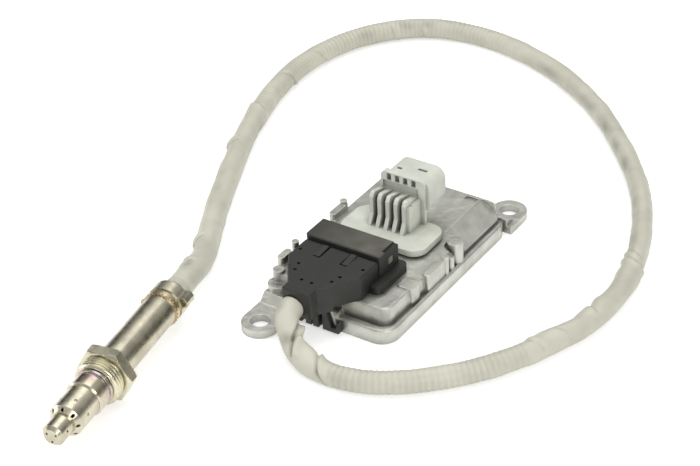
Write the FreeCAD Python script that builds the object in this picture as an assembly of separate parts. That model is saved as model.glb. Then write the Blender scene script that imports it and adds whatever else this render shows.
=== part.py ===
import FreeCAD, Part
import math
import os

# Exhaust gas sensor for nitrogen oxides: a die-cast control unit, a sleeved cable and a threaded probe.
# X runs across the control unit, +Y along it toward the mouth of the vehicle socket and +Z up.
# The origin is midway between the two mounting holes, on the plane that the unit stands on.
# All lengths are in millimetres.

# Control unit case, measured from the middle of the mounting holes
CASE_LEFT = 32.0
CASE_RIGHT = 30.0
CASE_FRONT = 48.0
CASE_BACK = 52.0
CASE_CORNER = 8.0
CASE_WALL = 2.4
RIM_HEIGHT = 7.0
RIM_EDGE = 0.7
DECK_HEIGHT = 14.0
DECK_WALL = 2.2
DECK_CORNER = 5.0
DECK_EDGE = 0.5
DECK_LEFT_STEP = 0.4
DECK_RIGHT_STEP = 3.0
DECK_FRONT_STEP = 4.5
DECK_BACK_STEP = 0.6
DECK_DRAFT = 1.0
DECK_BACK_DRAFT = 0.3
GROOVE_WIDTH = 1.6
GROOVE_DEPTH = 1.4
SLOPE_WIDTH = 10.0
SLOPE_START = 19.0
SLOPE_FOOT = 0.6
SLOPE_END_WALL = 1.6
RECESS_X = 13.2
RECESS_WIDTH = 6.0
RECESS_LONG = 2.6
RECESS_SETBACK = 2.2
RECESS_DEPTH = 1.0

# Mounting ears
EAR_X = 24.3
EAR_Y = 62.3
EAR_RADIUS = 8.0
EAR_HOLE = 4.25
EAR_THICK = 3.5
EAR_RAMP = 3.6
EAR_ROOT = 2.0

# Cast bosses on the right; heights are above the deck
BOSS_SETBACK = 2.2
BOSS_WIDTH = 7.8
BOSS_FRONT = -25.6
BOSS_LONG = 7.2
BOSS_RISE = 0.6
WALL_SETBACK = 1.5
WALL_WIDTH = 3.4
WALL_FRONT = -13.8
WALL_LONG = 14.2
WALL_RISE = 0.8
PEG_RADIUS = 1.7
PEG_SETBACK = 2.7
PEG_Y = 1.6
PEG_PITCH = 4.4
PEG_RISE = 1.4
PEG_STEP = 2.8
PILLAR_RADIUS = 3.5
PILLAR_SETBACK = 4.0
PILLAR_Y = 12.4
PILLAR_RISE = 2.4
MOAT_WIDTH = 1.2
MOAT_DEPTH = 1.8

# Cast hooks on the left; heights are above the deck
HOOK_WIDTH = 3.2
HOOK_OVERHANG = 0.9
HOOK_FRONT = 2.8
HOOK_LONG = 11.4
HOOK_RISE = 3.1
PRONG_RADIUS = 1.5
PRONG_Y = 12.5
PRONG_RISE = 5.0
STAKE_Y = -24.8
STAKE_RISE = 5.2
ARM_FRONT = -36.8
ARM_LONG = 7.6
ARM_RISE = 3.6
KNOB_RADIUS = 2.6
KNOB_INSET = 3.2
KNOB_Y = -41.0
KNOB_RISE = 1.4
BUMP_RADIUS = 4.6
BUMP_INSET = 4.2
BUMP_Y = -43.2
BUMP_RISE = 3.0

# Bottom cover, its seal and the circuit board
COVER_THICK = 1.5
COVER_LAP = 1.2
SEAL_THICK = 0.6
BOARD_THICK = 1.6
BOARD_GAP = 1.0
BOARD_DROP = 5.0
BOARD_MARGIN = 0.8
POST_RADIUS = 2.4
POST_INSET = 4.0
CHIP_THICK = 1.4
CHIP_WIDTH = 12.0
SMALL_CHIP = 6.0
CAN_RADIUS = 3.2
CAN_TALL = 3.4

# Vehicle socket; heights are above its flange
SOCKET_X = -0.9
SOCKET_FRONT = 15.4
SOCKET_WALL = 3.0
GASKET_THICK = 0.8
GASKET_INSET = 0.5
FLANGE_LEFT = 24.0
FLANGE_RIGHT = 18.9
FLANGE_FRONT = -5.5
FLANGE_BACK = 17.8
FLANGE_THICK = 2.8
FLANGE_CORNER = 6.6
SHROUD_WIDTH = 22.9
SHROUD_RISE = 21.1
SHROUD_TALL = 16.3
SHROUD_WALL = 1.7
SHROUD_CORNER = 5.0
SHROUD_LONG = 15.1
HEAD_CORNER = 2.0
HEAD_TRIM = 1.6
TOWER_TRIM = 3.55
BLOCK_LONG = 6.4
BLOCK_RISE = 12.6
RIB_COUNT = 5
RIB_PITCH = 4.12
RIB_THICK = 1.9
RIB_REACH = 9.9
RIB_FLARE = 2.4
RIB_BEND = 5.2
RIB_RISE = 15.2
RIB_FALL = 2.2
SIDE_STEP = 0.7
SIDE_RISE = 12.6
BAND_RISE = 13.2
BAND_TALL = 3.6
BAND_DEPTH = 0.8
POCKET_COUNT = 4
POCKET_SIZE = 2.2
POCKET_TALL = 3.3
POCKET_DEPTH = 1.8
POCKET_START = 3.0
POCKET_LIP = 0.5
SLOT_LONG = 1.4
SLOT_DEPTH = 0.9
PIN_COUNT = 5
PIN_PITCH = 3.4
PIN_SIZE = 0.9
PIN_REACH = 9.1

# Cable header, plug and lock bar; heights are above the deck
PLASTIC_X = -5.3
COLLAR_WIDTH = 46.6
COLLAR_FRONT = -35.0
COLLAR_BACK = -12.0
COLLAR_THICK = 3.4
COLLAR_CORNER = 3.0
TOWER_WIDTH = 34.6
TOWER_FRONT = -27.0
TOWER_BACK = -14.5
TOWER_RISE = 8.4
TONGUE_WIDTH = 26.0
TONGUE_LONG = 5.0
TONGUE_TALL = 3.4
TONGUE_RISE = 1.4
HEADER_PITCH = 5.0
PLUG_RISE = 11.0
PLUG_GAP = 0.3
PLUG_DIP = 1.4
PLUG_NOSE_Y = -62.0
PLUG_NOSE_WIDTH = 14.4
PLUG_NOSE_LONG = 5.0
PLUG_THROAT = 22.8
PLUG_THROAT_LONG = 5.8
PLUG_FLARE_Y = -40.8
PLUG_WIDTH = 36.6
PLUG_BACK = -27.4
PLUG_EDGE = 1.2
PLUG_CHAMFER = 0.8
PLUG_HOLE = 0.75
PLUG_HOLE_DEPTH = 3.0
PLUG_HOLES = [(15.7, -35.4), (10.3, -44.4), (9.1, -48.8), (2.5, -53.6)]
LATCH_X = 6.95
LATCH_WIDTH = 2.9
LATCH_LONG = 8.9
LATCH_SLIT = 0.6
LEG_WIDTH = 7.8
MIDDLE_LEG = 6.4
LEG_THICK = 3.4
LEG_FOOT = 1.4
LEG_GAP = 0.3
LEG_PITCH = 9.2
LOOP_RISE = 2.4
CATCH_THICK = 1.5
CATCH_LEAN = 2.8
CATCH_TOP = 1.8
CATCH_FOOT = 3.6
BAR_FRONT = -27.0
BAR_BACK = -13.4
BAR_RISE = 13.2
BAR_CHEEK = 1.5
BAR_CORNER = 1.6
BAR_STEP = 2.0
BAR_STEP_DROP = 1.2
FIT_GAP = 0.1

# Probe, lying on a flat of its nut; each length follows the one before it along the axis, from the tip
PROBE_TIP_X = -43.39
PROBE_TIP_Y = -171.33
PROBE_HEADING = 9.9
NUT_FLATS = 22.0
THREAD_RADIUS = 10.0
TIP_RADIUS = 4.75
TIP_EDGE = 1.3
TIP_LONG = 8.8
TIP_HOLE = 0.5
TIP_CIRCLE = 2.3
SHIELD_WALL = 0.6
SHIELD_RADIUS = 7.3
SHIELD_CONE = 2.0
SHIELD_LONG = 15.2
SHIELD_HOLES = 8
SHIELD_HOLE = 0.65
SHOULDER_RADIUS = 8.1
SHOULDER_LONG = 9.0
COLLAR_RIDGE = 0.3
NUT_GAP = 0.3
THREAD_LONG = 6.5
HEX_LONG = 5.2
RUN_CLEARANCE = 0.08
NECK_GAP = 0.4
TUBE_RADIUS = 7.5
TUBE_WALL = 0.5
TUBE_LONG = 43.6
SPIGOT_LONG = 5.0
BODY_BORE = 5.6
RING_RADIUS = 8.2
RING_WIDTH = 2.2
RING_TEETH = 28
RING_BUMP = 1.3
FERRULE_WALL = 0.7
FERRULE_LONG = 10.5
FERRULE_TAPER = 0.9
FERRULE_LIP = 1.6
BAND_WIDTH = 6.0
BAND_THICK = 0.7
BAND_SETBACK = 2.5
BAND_EAR = 2.6
GROMMET_REACH = 4.5
ELEMENT_WIDTH = 4.2
ELEMENT_THICK = 1.3
ELEMENT_INSET = 3.0
ELEMENT_GRIP = 5.0
CERAMIC_LONG = 7.4
POWDER_LONG = 6.0
REAR_CERAMIC_LONG = 8.0
BUSH_SETBACK = 9.6
BUSH_LONG = 14.0
CRIMP_LONG = 5.0
SEAL_LONG = 11.0
WIRE_RADIUS = 0.85
WIRE_CIRCLE = 3.9
WIRE_COUNT = 6
WIRE_TAIL = 4.0
SLIP_GAP = 0.02

# Cable
CABLE_RADIUS = 5.5
CABLE_SHIFT = 1.7
CABLE_DROP = 1.6
EXIT_RUN = 5.0
ENTRY_RUN = 12.0


def vec(x, y, z):
    return FreeCAD.Vector(x, y, z)


def box(x0, x1, y0, y1, z0, z1):
    return Part.makeBox(x1 - x0, y1 - y0, z1 - z0, vec(x0, y0, z0))


def disc(radius, x, y, z0, z1):
    return Part.makeCylinder(radius, z1 - z0, vec(x, y, z0))


def rounded_wire(x0, x1, y0, y1, radius, z):
    """A rectangle with four round corners, as a wire at height z."""
    marks = []
    for x, y, turn in [(x1, y0, 270), (x1, y1, 0), (x0, y1, 90), (x0, y0, 180)]:
        inward_x = math.copysign(radius, x - (x0 + x1) / 2)
        inward_y = math.copysign(radius, y - (y0 + y1) / 2)
        centre = vec(x - inward_x, y - inward_y, z)
        points = []
        for share in (0, 45, 90):
            angle = math.radians(turn + share)
            points.append(centre + vec(radius * math.cos(angle), radius * math.sin(angle), 0))
        marks.append(points)
    edges = []
    for index, points in enumerate(marks):
        edges.append(Part.Arc(*points).toShape())
        edges.append(Part.LineSegment(points[2], marks[(index + 1) % 4][0]).toShape())
    return Part.Wire(edges)


def rounded_plate(x0, x1, y0, y1, radius, z0, z1):
    return Part.Face(rounded_wire(x0, x1, y0, y1, radius, z0)).extrude(vec(0, 0, z1 - z0))


def closed_face(corners):
    return Part.Face(Part.makePolygon(corners + corners[:1]))


def outline_plate(points, z0, z1):
    return closed_face([vec(x, y, z0) for x, y in points]).extrude(vec(0, 0, z1 - z0))


def side_profile(points, x0, x1):
    """A closed outline in Y and Z, extruded across X."""
    return closed_face([vec(x0, y, z) for y, z in points]).extrude(vec(x1 - x0, 0, 0))


def end_profile(points, y0, y1):
    """A closed outline in X and Z, extruded along Y."""
    return closed_face([vec(x, y0, z) for x, z in points]).extrude(vec(0, y1 - y0, 0))


def turned(profile):
    """Revolve (station, radius) points about the Y axis."""
    face = closed_face([vec(radius, station, 0) for station, radius in profile])
    return face.revolve(vec(0, 0, 0), vec(0, 1, 0), 360)


def ring(start, end, outer, inner):
    return turned([(start, inner), (start, outer), (end, outer), (end, inner)])


def rod(radius, start, end, x=0.0, z=0.0):
    return Part.makeCylinder(radius, end - start, vec(x, start, z), vec(0, 1, 0))


def fuse_all(shapes):
    first = shapes[0]
    return first.multiFuse(shapes[1:]).removeSplitter() if len(shapes) > 1 else first


def edges_at(shape, z):
    return [edge for edge in shape.Edges if edge.BoundBox.ZMin > z - 0.01 and edge.BoundBox.ZMax < z + 0.01]


def upright_edges(shape):
    return [edge for edge in shape.Edges if abs(edge.tangentAt(edge.FirstParameter).z) > 0.9]


def on_probe(shape):
    """Move a shape from the probe's own axis to where the probe lies."""
    placed = shape.copy()
    placed.rotate(vec(0, 0, 0), vec(0, 0, 1), PROBE_HEADING)
    placed.translate(vec(PROBE_TIP_X, PROBE_TIP_Y, NUT_FLATS / 2))
    return placed


def probe_point(station):
    angle = math.radians(PROBE_HEADING)
    x = PROBE_TIP_X - station * math.sin(angle)
    y = PROBE_TIP_Y + station * math.cos(angle)
    return vec(x, y, NUT_FLATS / 2)


def save(name, shape):
    shape.exportStep("parts/" + name + ".step")
    print(name, "solids", len(shape.Solids), "valid", shape.isValid(), "volume", round(shape.Volume, 1))


os.makedirs("parts", exist_ok=True)

# Levels and edges that several pieces share
lid_z = COVER_THICK + SEAL_THICK
roof_z = DECK_HEIGHT - DECK_WALL
board_z = roof_z - BOARD_GAP - BOARD_DROP
board_top = board_z + BOARD_THICK
inner_left = -CASE_LEFT + CASE_WALL
inner_right = CASE_RIGHT - CASE_WALL
inner_front = -CASE_FRONT + CASE_WALL
inner_back = CASE_BACK - CASE_WALL
inner_corner = CASE_CORNER - CASE_WALL
deck_left = -CASE_LEFT + DECK_LEFT_STEP
deck_right = CASE_RIGHT - DECK_RIGHT_STEP
deck_front = -CASE_FRONT + DECK_FRONT_STEP
deck_back = CASE_BACK - DECK_BACK_STEP
deck_floor = RIM_HEIGHT - GROOVE_DEPTH
room_corner = DECK_CORNER - CASE_WALL
room_left = deck_left + CASE_WALL
room_right = deck_right - SLOPE_WIDTH - DECK_DRAFT
room_front = deck_front + CASE_WALL
room_back = deck_back - CASE_WALL
board_left = room_left + BOARD_MARGIN
board_right = room_right - BOARD_MARGIN
board_front = room_front + BOARD_MARGIN
board_back = room_back - BOARD_MARGIN
boss_root = RIM_HEIGHT - CASE_WALL
post_places = []
for post_x in (board_left + POST_INSET, board_right - POST_INSET):
    for post_y in (board_front + POST_INSET, board_back - POST_INSET):
        post_places.append((post_x, post_y))


def ear(side):
    """One mounting ear with its ramp; side is -1 at the front left and 1 at the back right."""
    edge_y = CASE_FRONT if side < 0 else CASE_BACK
    low_x = side * EAR_X - EAR_RADIUS
    high_x = side * EAR_X + EAR_RADIUS
    tip = disc(EAR_RADIUS, side * EAR_X, side * EAR_Y, 0, EAR_THICK)
    root_y = side * (edge_y - EAR_ROOT)
    flat = box(low_x, high_x, min(root_y, side * EAR_Y), max(root_y, side * EAR_Y), 0, EAR_THICK)
    lift = RIM_HEIGHT - EAR_THICK
    ramp = [(side * (edge_y + EAR_RAMP), EAR_THICK), (side * (edge_y + EAR_RAMP - lift), RIM_HEIGHT)]
    ramp += [(root_y, RIM_HEIGHT), (root_y, EAR_THICK)]
    return tip.multiFuse([flat, side_profile(ramp, max(low_x, -CASE_LEFT), min(high_x, CASE_RIGHT))])


def build_deck():
    """The raised deck: drafted walls, a bevelled top edge and a slope down to the rim at the back right."""
    sections = []
    for z, rise in ((deck_floor, 0.0), (DECK_HEIGHT - DECK_EDGE, 1.0), (DECK_HEIGHT, 1.0)):
        inset = DECK_EDGE if z == DECK_HEIGHT else 0.0
        near = inset + rise * DECK_BACK_DRAFT
        far = inset + rise * DECK_DRAFT
        sections.append(rounded_wire(deck_left + near, deck_right - far, deck_front + far, deck_back - near,
                                     DECK_CORNER - inset, z))
    deck = Part.makeLoft(sections, True, True)
    slope_top = deck_right - SLOPE_WIDTH
    slope_low = RIM_HEIGHT + SLOPE_FOOT
    slope = [(slope_top, DECK_HEIGHT + 1), (slope_top, DECK_HEIGHT - DECK_EDGE), (deck_right - DECK_EDGE, slope_low)]
    slope += [(CASE_RIGHT + 1, slope_low), (CASE_RIGHT + 1, DECK_HEIGHT + 1)]
    return deck.cut(end_profile(slope, SLOPE_START, deck_back - SLOPE_END_WALL))


def right_bosses():
    boss_right = CASE_RIGHT - BOSS_SETBACK
    wall_right = CASE_RIGHT - WALL_SETBACK
    corner = rounded_plate(boss_right - BOSS_WIDTH, boss_right, BOSS_FRONT, BOSS_FRONT + BOSS_LONG,
                           PEG_RADIUS, boss_root, DECK_HEIGHT + BOSS_RISE)
    wall = rounded_plate(wall_right - WALL_WIDTH, wall_right, WALL_FRONT, WALL_FRONT + WALL_LONG,
                         WALL_WIDTH * 0.4, boss_root, DECK_HEIGHT + WALL_RISE)
    shapes = [corner, wall]
    for index in range(2):
        top_z = DECK_HEIGHT + PEG_RISE - index * PEG_STEP
        shapes.append(disc(PEG_RADIUS, CASE_RIGHT - PEG_SETBACK, PEG_Y + index * PEG_PITCH, boss_root, top_z))
    pillar_x = CASE_RIGHT - PILLAR_SETBACK
    shapes.append(disc(PILLAR_RADIUS, pillar_x, PILLAR_Y, boss_root, DECK_HEIGHT + PILLAR_RISE))
    return shapes


def left_hooks():
    low_x = -CASE_LEFT - HOOK_OVERHANG
    high_x = low_x + HOOK_WIDTH
    round_end = HOOK_WIDTH * 0.4
    rail = rounded_plate(low_x, high_x, HOOK_FRONT, HOOK_FRONT + HOOK_LONG, round_end, boss_root,
                         DECK_HEIGHT + HOOK_RISE)
    arm = rounded_plate(low_x, high_x, ARM_FRONT, ARM_FRONT + ARM_LONG, round_end, boss_root,
                        DECK_HEIGHT + ARM_RISE)
    middle_x = (low_x + high_x) / 2
    prong = disc(PRONG_RADIUS, middle_x, PRONG_Y, boss_root, DECK_HEIGHT + PRONG_RISE)
    stake = disc(PRONG_RADIUS, middle_x, STAKE_Y, boss_root, DECK_HEIGHT + STAKE_RISE)
    knob = disc(KNOB_RADIUS, -CASE_LEFT + KNOB_INSET, KNOB_Y, boss_root, DECK_HEIGHT + KNOB_RISE)
    bump = disc(BUMP_RADIUS, -CASE_LEFT + BUMP_INSET, BUMP_Y, 0, RIM_HEIGHT + BUMP_RISE)
    return [rail, arm, prong, stake, knob, bump]


def catch(x, side):
    """A slanted catch on the case's front that a leg of the plug hooks over."""
    top_z = roof_z
    half = CATCH_THICK / 2
    lean = side * CATCH_LEAN / 2
    points = [(x - lean - half, top_z), (x - lean + half, top_z), (x + lean + half, CATCH_FOOT)]
    points += [(x + lean - half, CATCH_FOOT)]
    front = -CASE_FRONT - LEG_GAP - LEG_THICK + CATCH_TOP
    return end_profile(points, front, deck_front + DECK_DRAFT)


def socket_well():
    """The opening in the deck under the vehicle socket."""
    half = SHROUD_WIDTH / 2 - SHROUD_WALL
    return rounded_plate(SOCKET_X - half, SOCKET_X + half, SOCKET_FRONT - SOCKET_WALL, SOCKET_FRONT + SOCKET_WALL,
                         PIN_SIZE, roof_z - 1, DECK_HEIGHT + GASKET_THICK)


def header_well():
    """The opening in the deck under the cable header."""
    half = TONGUE_WIDTH / 2
    return rounded_plate(PLASTIC_X - half, PLASTIC_X + half, TOWER_FRONT + COLLAR_CORNER, TOWER_BACK - TONGUE_RISE,
                         PIN_SIZE, roof_z - 1, DECK_HEIGHT + 1)


def build_case():
    rim = rounded_plate(-CASE_LEFT, CASE_RIGHT, -CASE_FRONT, CASE_BACK, CASE_CORNER, 0, RIM_HEIGHT)
    rim = rim.makeChamfer(RIM_EDGE, edges_at(rim, RIM_HEIGHT))
    groove = rounded_plate(deck_left - FIT_GAP, deck_right + GROOVE_WIDTH, deck_front - GROOVE_WIDTH,
                           deck_back + FIT_GAP, DECK_CORNER, deck_floor, RIM_HEIGHT + 1)
    moat = disc(PILLAR_RADIUS + MOAT_WIDTH, CASE_RIGHT - PILLAR_SETBACK, PILLAR_Y, DECK_HEIGHT - MOAT_DEPTH,
                DECK_HEIGHT + 1)
    body = rim.cut(groove).fuse(build_deck().cut(moat))
    catches = [catch(PLASTIC_X + side * LEG_PITCH, side) for side in (-1, 1)]
    body = body.multiFuse([ear(-1), ear(1)] + right_bosses() + left_hooks() + catches)
    lower = rounded_plate(inner_left, inner_right, inner_front, inner_back, inner_corner, -1, RIM_HEIGHT - CASE_WALL)
    room = rounded_plate(room_left, room_right, room_front, room_back, room_corner, lid_z, roof_z)
    side_room = rounded_plate(0, room_right + SLOPE_WIDTH - CASE_WALL, room_front, SLOPE_START - CASE_WALL,
                              room_corner, lid_z, roof_z - MOAT_DEPTH)
    ledge = rounded_plate(inner_left - COVER_LAP, inner_right + COVER_LAP, inner_front - COVER_LAP,
                          inner_back + COVER_LAP, inner_corner + COVER_LAP, -1, lid_z)
    body = body.cut(lower.multiFuse([room, side_room, ledge]))
    body = body.multiFuse([disc(POST_RADIUS, x, y, board_top, roof_z + DECK_WALL / 2) for x, y in post_places])
    holes = [disc(EAR_HOLE, side * EAR_X, side * EAR_Y, -1, RIM_HEIGHT) for side in (-1, 1)]
    recess_back = deck_back - RECESS_SETBACK
    recess = box(RECESS_X - RECESS_WIDTH / 2, RECESS_X + RECESS_WIDTH / 2, recess_back - RECESS_LONG, recess_back,
                 DECK_HEIGHT - RECESS_DEPTH, DECK_HEIGHT + 1)
    for tool in holes + [recess, socket_well(), header_well()]:
        body = body.cut(tool)
    return body.removeSplitter()


def build_cover():
    lap = COVER_LAP - FIT_GAP
    return rounded_plate(inner_left - lap, inner_right + lap, inner_front - lap, inner_back + lap,
                         inner_corner + lap, 0, COVER_THICK)


def build_seal():
    lap = COVER_LAP - FIT_GAP
    outer = rounded_plate(inner_left - lap, inner_right + lap, inner_front - lap, inner_back + lap,
                          inner_corner + lap, COVER_THICK, lid_z)
    inner = rounded_plate(inner_left + lap, inner_right - lap, inner_front + lap, inner_back - lap,
                          inner_corner - lap, COVER_THICK - 1, lid_z + 1)
    return outer.cut(inner)


def build_board():
    return rounded_plate(board_left, board_right, board_front, board_back, POST_RADIUS, board_z, board_top)


def build_board_parts():
    """Chips and round capacitors on top of the board, placed from its edges and its middle."""
    middle_x = (board_left + board_right) / 2
    middle_y = (board_front + board_back) / 2
    big = CHIP_WIDTH / 2
    small = SMALL_CHIP / 2
    chips = [(middle_x - 2 * small, board_front + 3 * small, big), (middle_x + big, board_front + 3 * small, small)]
    chips += [(board_left + big + 1, middle_y + big, big), (middle_x + big, board_back - big, small)]
    chips += [(middle_x - small, board_back - big, small), (board_right - small - 1, middle_y - big, small)]
    solids = []
    for x, y, half in chips:
        solids.append(box(x - half, x + half, y - half, y + half, board_top, board_top + CHIP_THICK))
    for index in range(2):
        can_y = middle_y - 4 * CAN_RADIUS + index * (2 * CAN_RADIUS + 1)
        solids.append(disc(CAN_RADIUS, board_left + 2 * CAN_RADIUS, can_y, board_top, board_top + CAN_TALL))
    return Part.makeCompound(solids)


save("case", build_case())
save("bottom_cover", build_cover())
save("cover_seal", build_seal())
save("circuit_board", build_board())
save("board_parts", build_board_parts())

gasket_top = DECK_HEIGHT + GASKET_THICK
flange_top = gasket_top + FLANGE_THICK
shroud_top = flange_top + SHROUD_RISE
shroud_low = shroud_top - SHROUD_TALL
shroud_left = SOCKET_X - SHROUD_WIDTH / 2
shroud_right = SOCKET_X + SHROUD_WIDTH / 2
shroud_mouth = SOCKET_FRONT + SHROUD_LONG
pin_z = shroud_top - SHROUD_TALL / 2
tower_right = shroud_right - TOWER_TRIM
tower_left = shroud_left - FIT_GAP * 5


def shroud_block(grow, y0, y1):
    """The rounded outline of the socket's shroud, grown or shrunk, between two stations along Y."""
    wire = rounded_wire(shroud_left - grow, shroud_right + grow, shroud_low - grow, shroud_top + grow,
                        SHROUD_CORNER + grow, 0)
    face = Part.Face(wire)
    face.rotate(vec(0, 0, 0), vec(1, 0, 0), 90)
    face.translate(vec(0, y1, 0))
    return face.extrude(vec(0, y0 - y1, 0))


def socket_pin(index):
    """One bent pin from the shroud's cavity down to the circuit board."""
    x = SOCKET_X + (index - (PIN_COUNT - 1) / 2) * PIN_PITCH
    half = PIN_SIZE / 2
    heel = SOCKET_FRONT + PIN_SIZE
    blade = box(x - half, x + half, heel, SOCKET_FRONT + PIN_REACH, pin_z - half, pin_z + half)
    leg = box(x - half, x + half, heel, heel + PIN_SIZE, board_top, pin_z + half)
    return blade.fuse(leg).removeSplitter()


def build_ribs():
    """Webs that stand on the flange, flare at the foot and fall back to the wall at the top."""
    front = SOCKET_FRONT - RIB_REACH
    top = flange_top + RIB_RISE
    web = [(front - RIB_FLARE, flange_top), (front, flange_top + RIB_BEND), (front, top - RIB_FALL)]
    web += [(front + RIB_FALL / 2, top - RIB_FALL / 4), (front + RIB_FALL, top), (SOCKET_FRONT, top - RIB_FALL)]
    web += [(SOCKET_FRONT, flange_top)]
    ribs = []
    for index in range(RIB_COUNT):
        x = tower_left + index * RIB_PITCH
        ribs.append(side_profile(web, x, x + RIB_THICK))
    side_front = front + SIDE_STEP
    step = [(side_front, flange_top), (side_front, flange_top + SIDE_RISE), (SOCKET_FRONT, flange_top + BLOCK_RISE - 1)]
    step += [(SOCKET_FRONT, flange_top)]
    ribs.append(side_profile(step, tower_left + (RIB_COUNT - 1) * RIB_PITCH, tower_right))
    return ribs


def build_socket(pins):
    flange = rounded_plate(-FLANGE_LEFT, FLANGE_RIGHT, FLANGE_FRONT, FLANGE_BACK, FLANGE_CORNER,
                           gasket_top, flange_top)
    back = SOCKET_FRONT + SOCKET_WALL
    block = box(tower_left, tower_right, SOCKET_FRONT - BLOCK_LONG, SOCKET_FRONT, flange_top, flange_top + BLOCK_RISE)
    head = box(tower_left, shroud_right - HEAD_TRIM, SOCKET_FRONT, back, flange_top, shroud_top)
    head = head.makeFillet(HEAD_CORNER, [e for e in edges_at(head, shroud_top) if e.BoundBox.YLength > 1])
    foot = box(tower_left, shroud_right - HEAD_TRIM, SOCKET_FRONT, back - PIN_SIZE, flange_top, pin_z)
    shroud = shroud_block(0, SOCKET_FRONT + SHROUD_WALL, shroud_mouth)
    cavity = shroud_block(-SHROUD_WALL, back, shroud_mouth + 1)
    well_half = SHROUD_WIDTH / 2 - SHROUD_WALL - FIT_GAP
    spigot = rounded_plate(SOCKET_X - well_half, SOCKET_X + well_half, SOCKET_FRONT - SOCKET_WALL + FIT_GAP,
                           back - FIT_GAP, PIN_SIZE - FIT_GAP, roof_z, flange_top - 1)
    under = box(tower_left - 1, shroud_right + 1, back - PIN_SIZE, back + 1, flange_top, shroud_low)
    shell = flange.multiFuse([block, head.cut(under), foot, shroud, spigot] + build_ribs())
    band = box(tower_left + RIB_THICK / 2, tower_left + RIB_COUNT * RIB_PITCH - RIB_THICK, SOCKET_FRONT - 1,
               SOCKET_FRONT + BAND_DEPTH, flange_top + BAND_RISE, flange_top + BAND_RISE + BAND_TALL)
    cuts = [cavity, band]
    for index in range(POCKET_COUNT):
        x = tower_left + POCKET_START + index * RIB_PITCH
        top = shroud_top - POCKET_LIP
        cuts.append(box(x, x + POCKET_SIZE, SOCKET_FRONT - 1, SOCKET_FRONT + POCKET_DEPTH, top - POCKET_TALL, top))
    slots = [(SOCKET_X - SHROUD_CORNER - POCKET_DEPTH, POCKET_SIZE, back + POCKET_DEPTH)]
    slots.append((SOCKET_X + POCKET_DEPTH, 2 * POCKET_SIZE, back + SHROUD_CORNER))
    for x, wide, y in slots:
        cuts.append(box(x, x + wide, y, y + SLOT_LONG, shroud_top - SLOT_DEPTH, shroud_top + 1))
    for tool in cuts + [pins]:
        shell = shell.cut(tool)
    return shell.removeSplitter()


def build_gasket():
    outer = rounded_plate(-FLANGE_LEFT + GASKET_INSET, FLANGE_RIGHT - GASKET_INSET, FLANGE_FRONT + GASKET_INSET,
                          FLANGE_BACK - GASKET_INSET, FLANGE_CORNER - GASKET_INSET, DECK_HEIGHT, gasket_top)
    return outer.cut(socket_well())


socket_pins = Part.makeCompound([socket_pin(index) for index in range(PIN_COUNT)])
save("socket_pins", socket_pins)
save("vehicle_socket", build_socket(socket_pins))
save("socket_gasket", build_gasket())

collar_top = DECK_HEIGHT + COLLAR_THICK
tower_top = DECK_HEIGHT + TOWER_RISE
tongue_z = collar_top + TONGUE_RISE
plug_top = DECK_HEIGHT + PLUG_RISE
plug_low = DECK_HEIGHT - PLUG_DIP
bar_top = DECK_HEIGHT + BAR_RISE
bar_half = TOWER_WIDTH / 2 + FIT_GAP + BAR_CHEEK
heel_y = TOWER_BACK - TONGUE_LONG + PIN_SIZE


def header_pin(index):
    x = PLASTIC_X + (index - (PIN_COUNT - 1) / 2) * HEADER_PITCH
    half = PIN_SIZE / 2
    tip_y = TOWER_FRONT - TONGUE_LONG - 2 * PIN_SIZE
    mid_z = tongue_z + TONGUE_TALL / 2
    blade = box(x - half, x + half, tip_y, heel_y, mid_z - half, mid_z + half)
    leg = box(x - half, x + half, heel_y - PIN_SIZE, heel_y, board_top, mid_z + half)
    return blade.fuse(leg).removeSplitter()


def build_header(pins):
    half = COLLAR_WIDTH / 2
    collar = rounded_plate(PLASTIC_X - half, PLASTIC_X + half, COLLAR_FRONT, COLLAR_BACK, COLLAR_CORNER,
                           DECK_HEIGHT, collar_top)
    tower = box(PLASTIC_X - TOWER_WIDTH / 2, PLASTIC_X + TOWER_WIDTH / 2, TOWER_FRONT, TOWER_BACK,
                collar_top, tower_top)
    tongue = box(PLASTIC_X - TONGUE_WIDTH / 2, PLASTIC_X + TONGUE_WIDTH / 2, TOWER_FRONT - TONGUE_LONG,
                 TOWER_FRONT, tongue_z, tongue_z + TONGUE_TALL)
    neck = TONGUE_WIDTH / 2 - FIT_GAP
    spigot = rounded_plate(PLASTIC_X - neck, PLASTIC_X + neck, TOWER_FRONT + COLLAR_CORNER + FIT_GAP,
                           TOWER_BACK - TONGUE_RISE - FIT_GAP, PIN_SIZE - FIT_GAP, roof_z, DECK_HEIGHT)
    return collar.multiFuse([tower, tongue, spigot]).cut(pins).removeSplitter()


def plug_outline():
    nose = PLUG_NOSE_WIDTH / 2
    neck_y = PLUG_NOSE_Y + PLUG_NOSE_LONG
    right = [(nose, PLUG_NOSE_Y), (nose, neck_y), (PLUG_THROAT / 2, neck_y + PLUG_THROAT_LONG)]
    right += [(PLUG_WIDTH / 2 - FIT_GAP, PLUG_FLARE_Y), (PLUG_WIDTH / 2, PLUG_BACK)]
    left = [(-x, y) for x, y in reversed(right)]
    return [(PLASTIC_X + x, y) for x, y in right + left]


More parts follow.
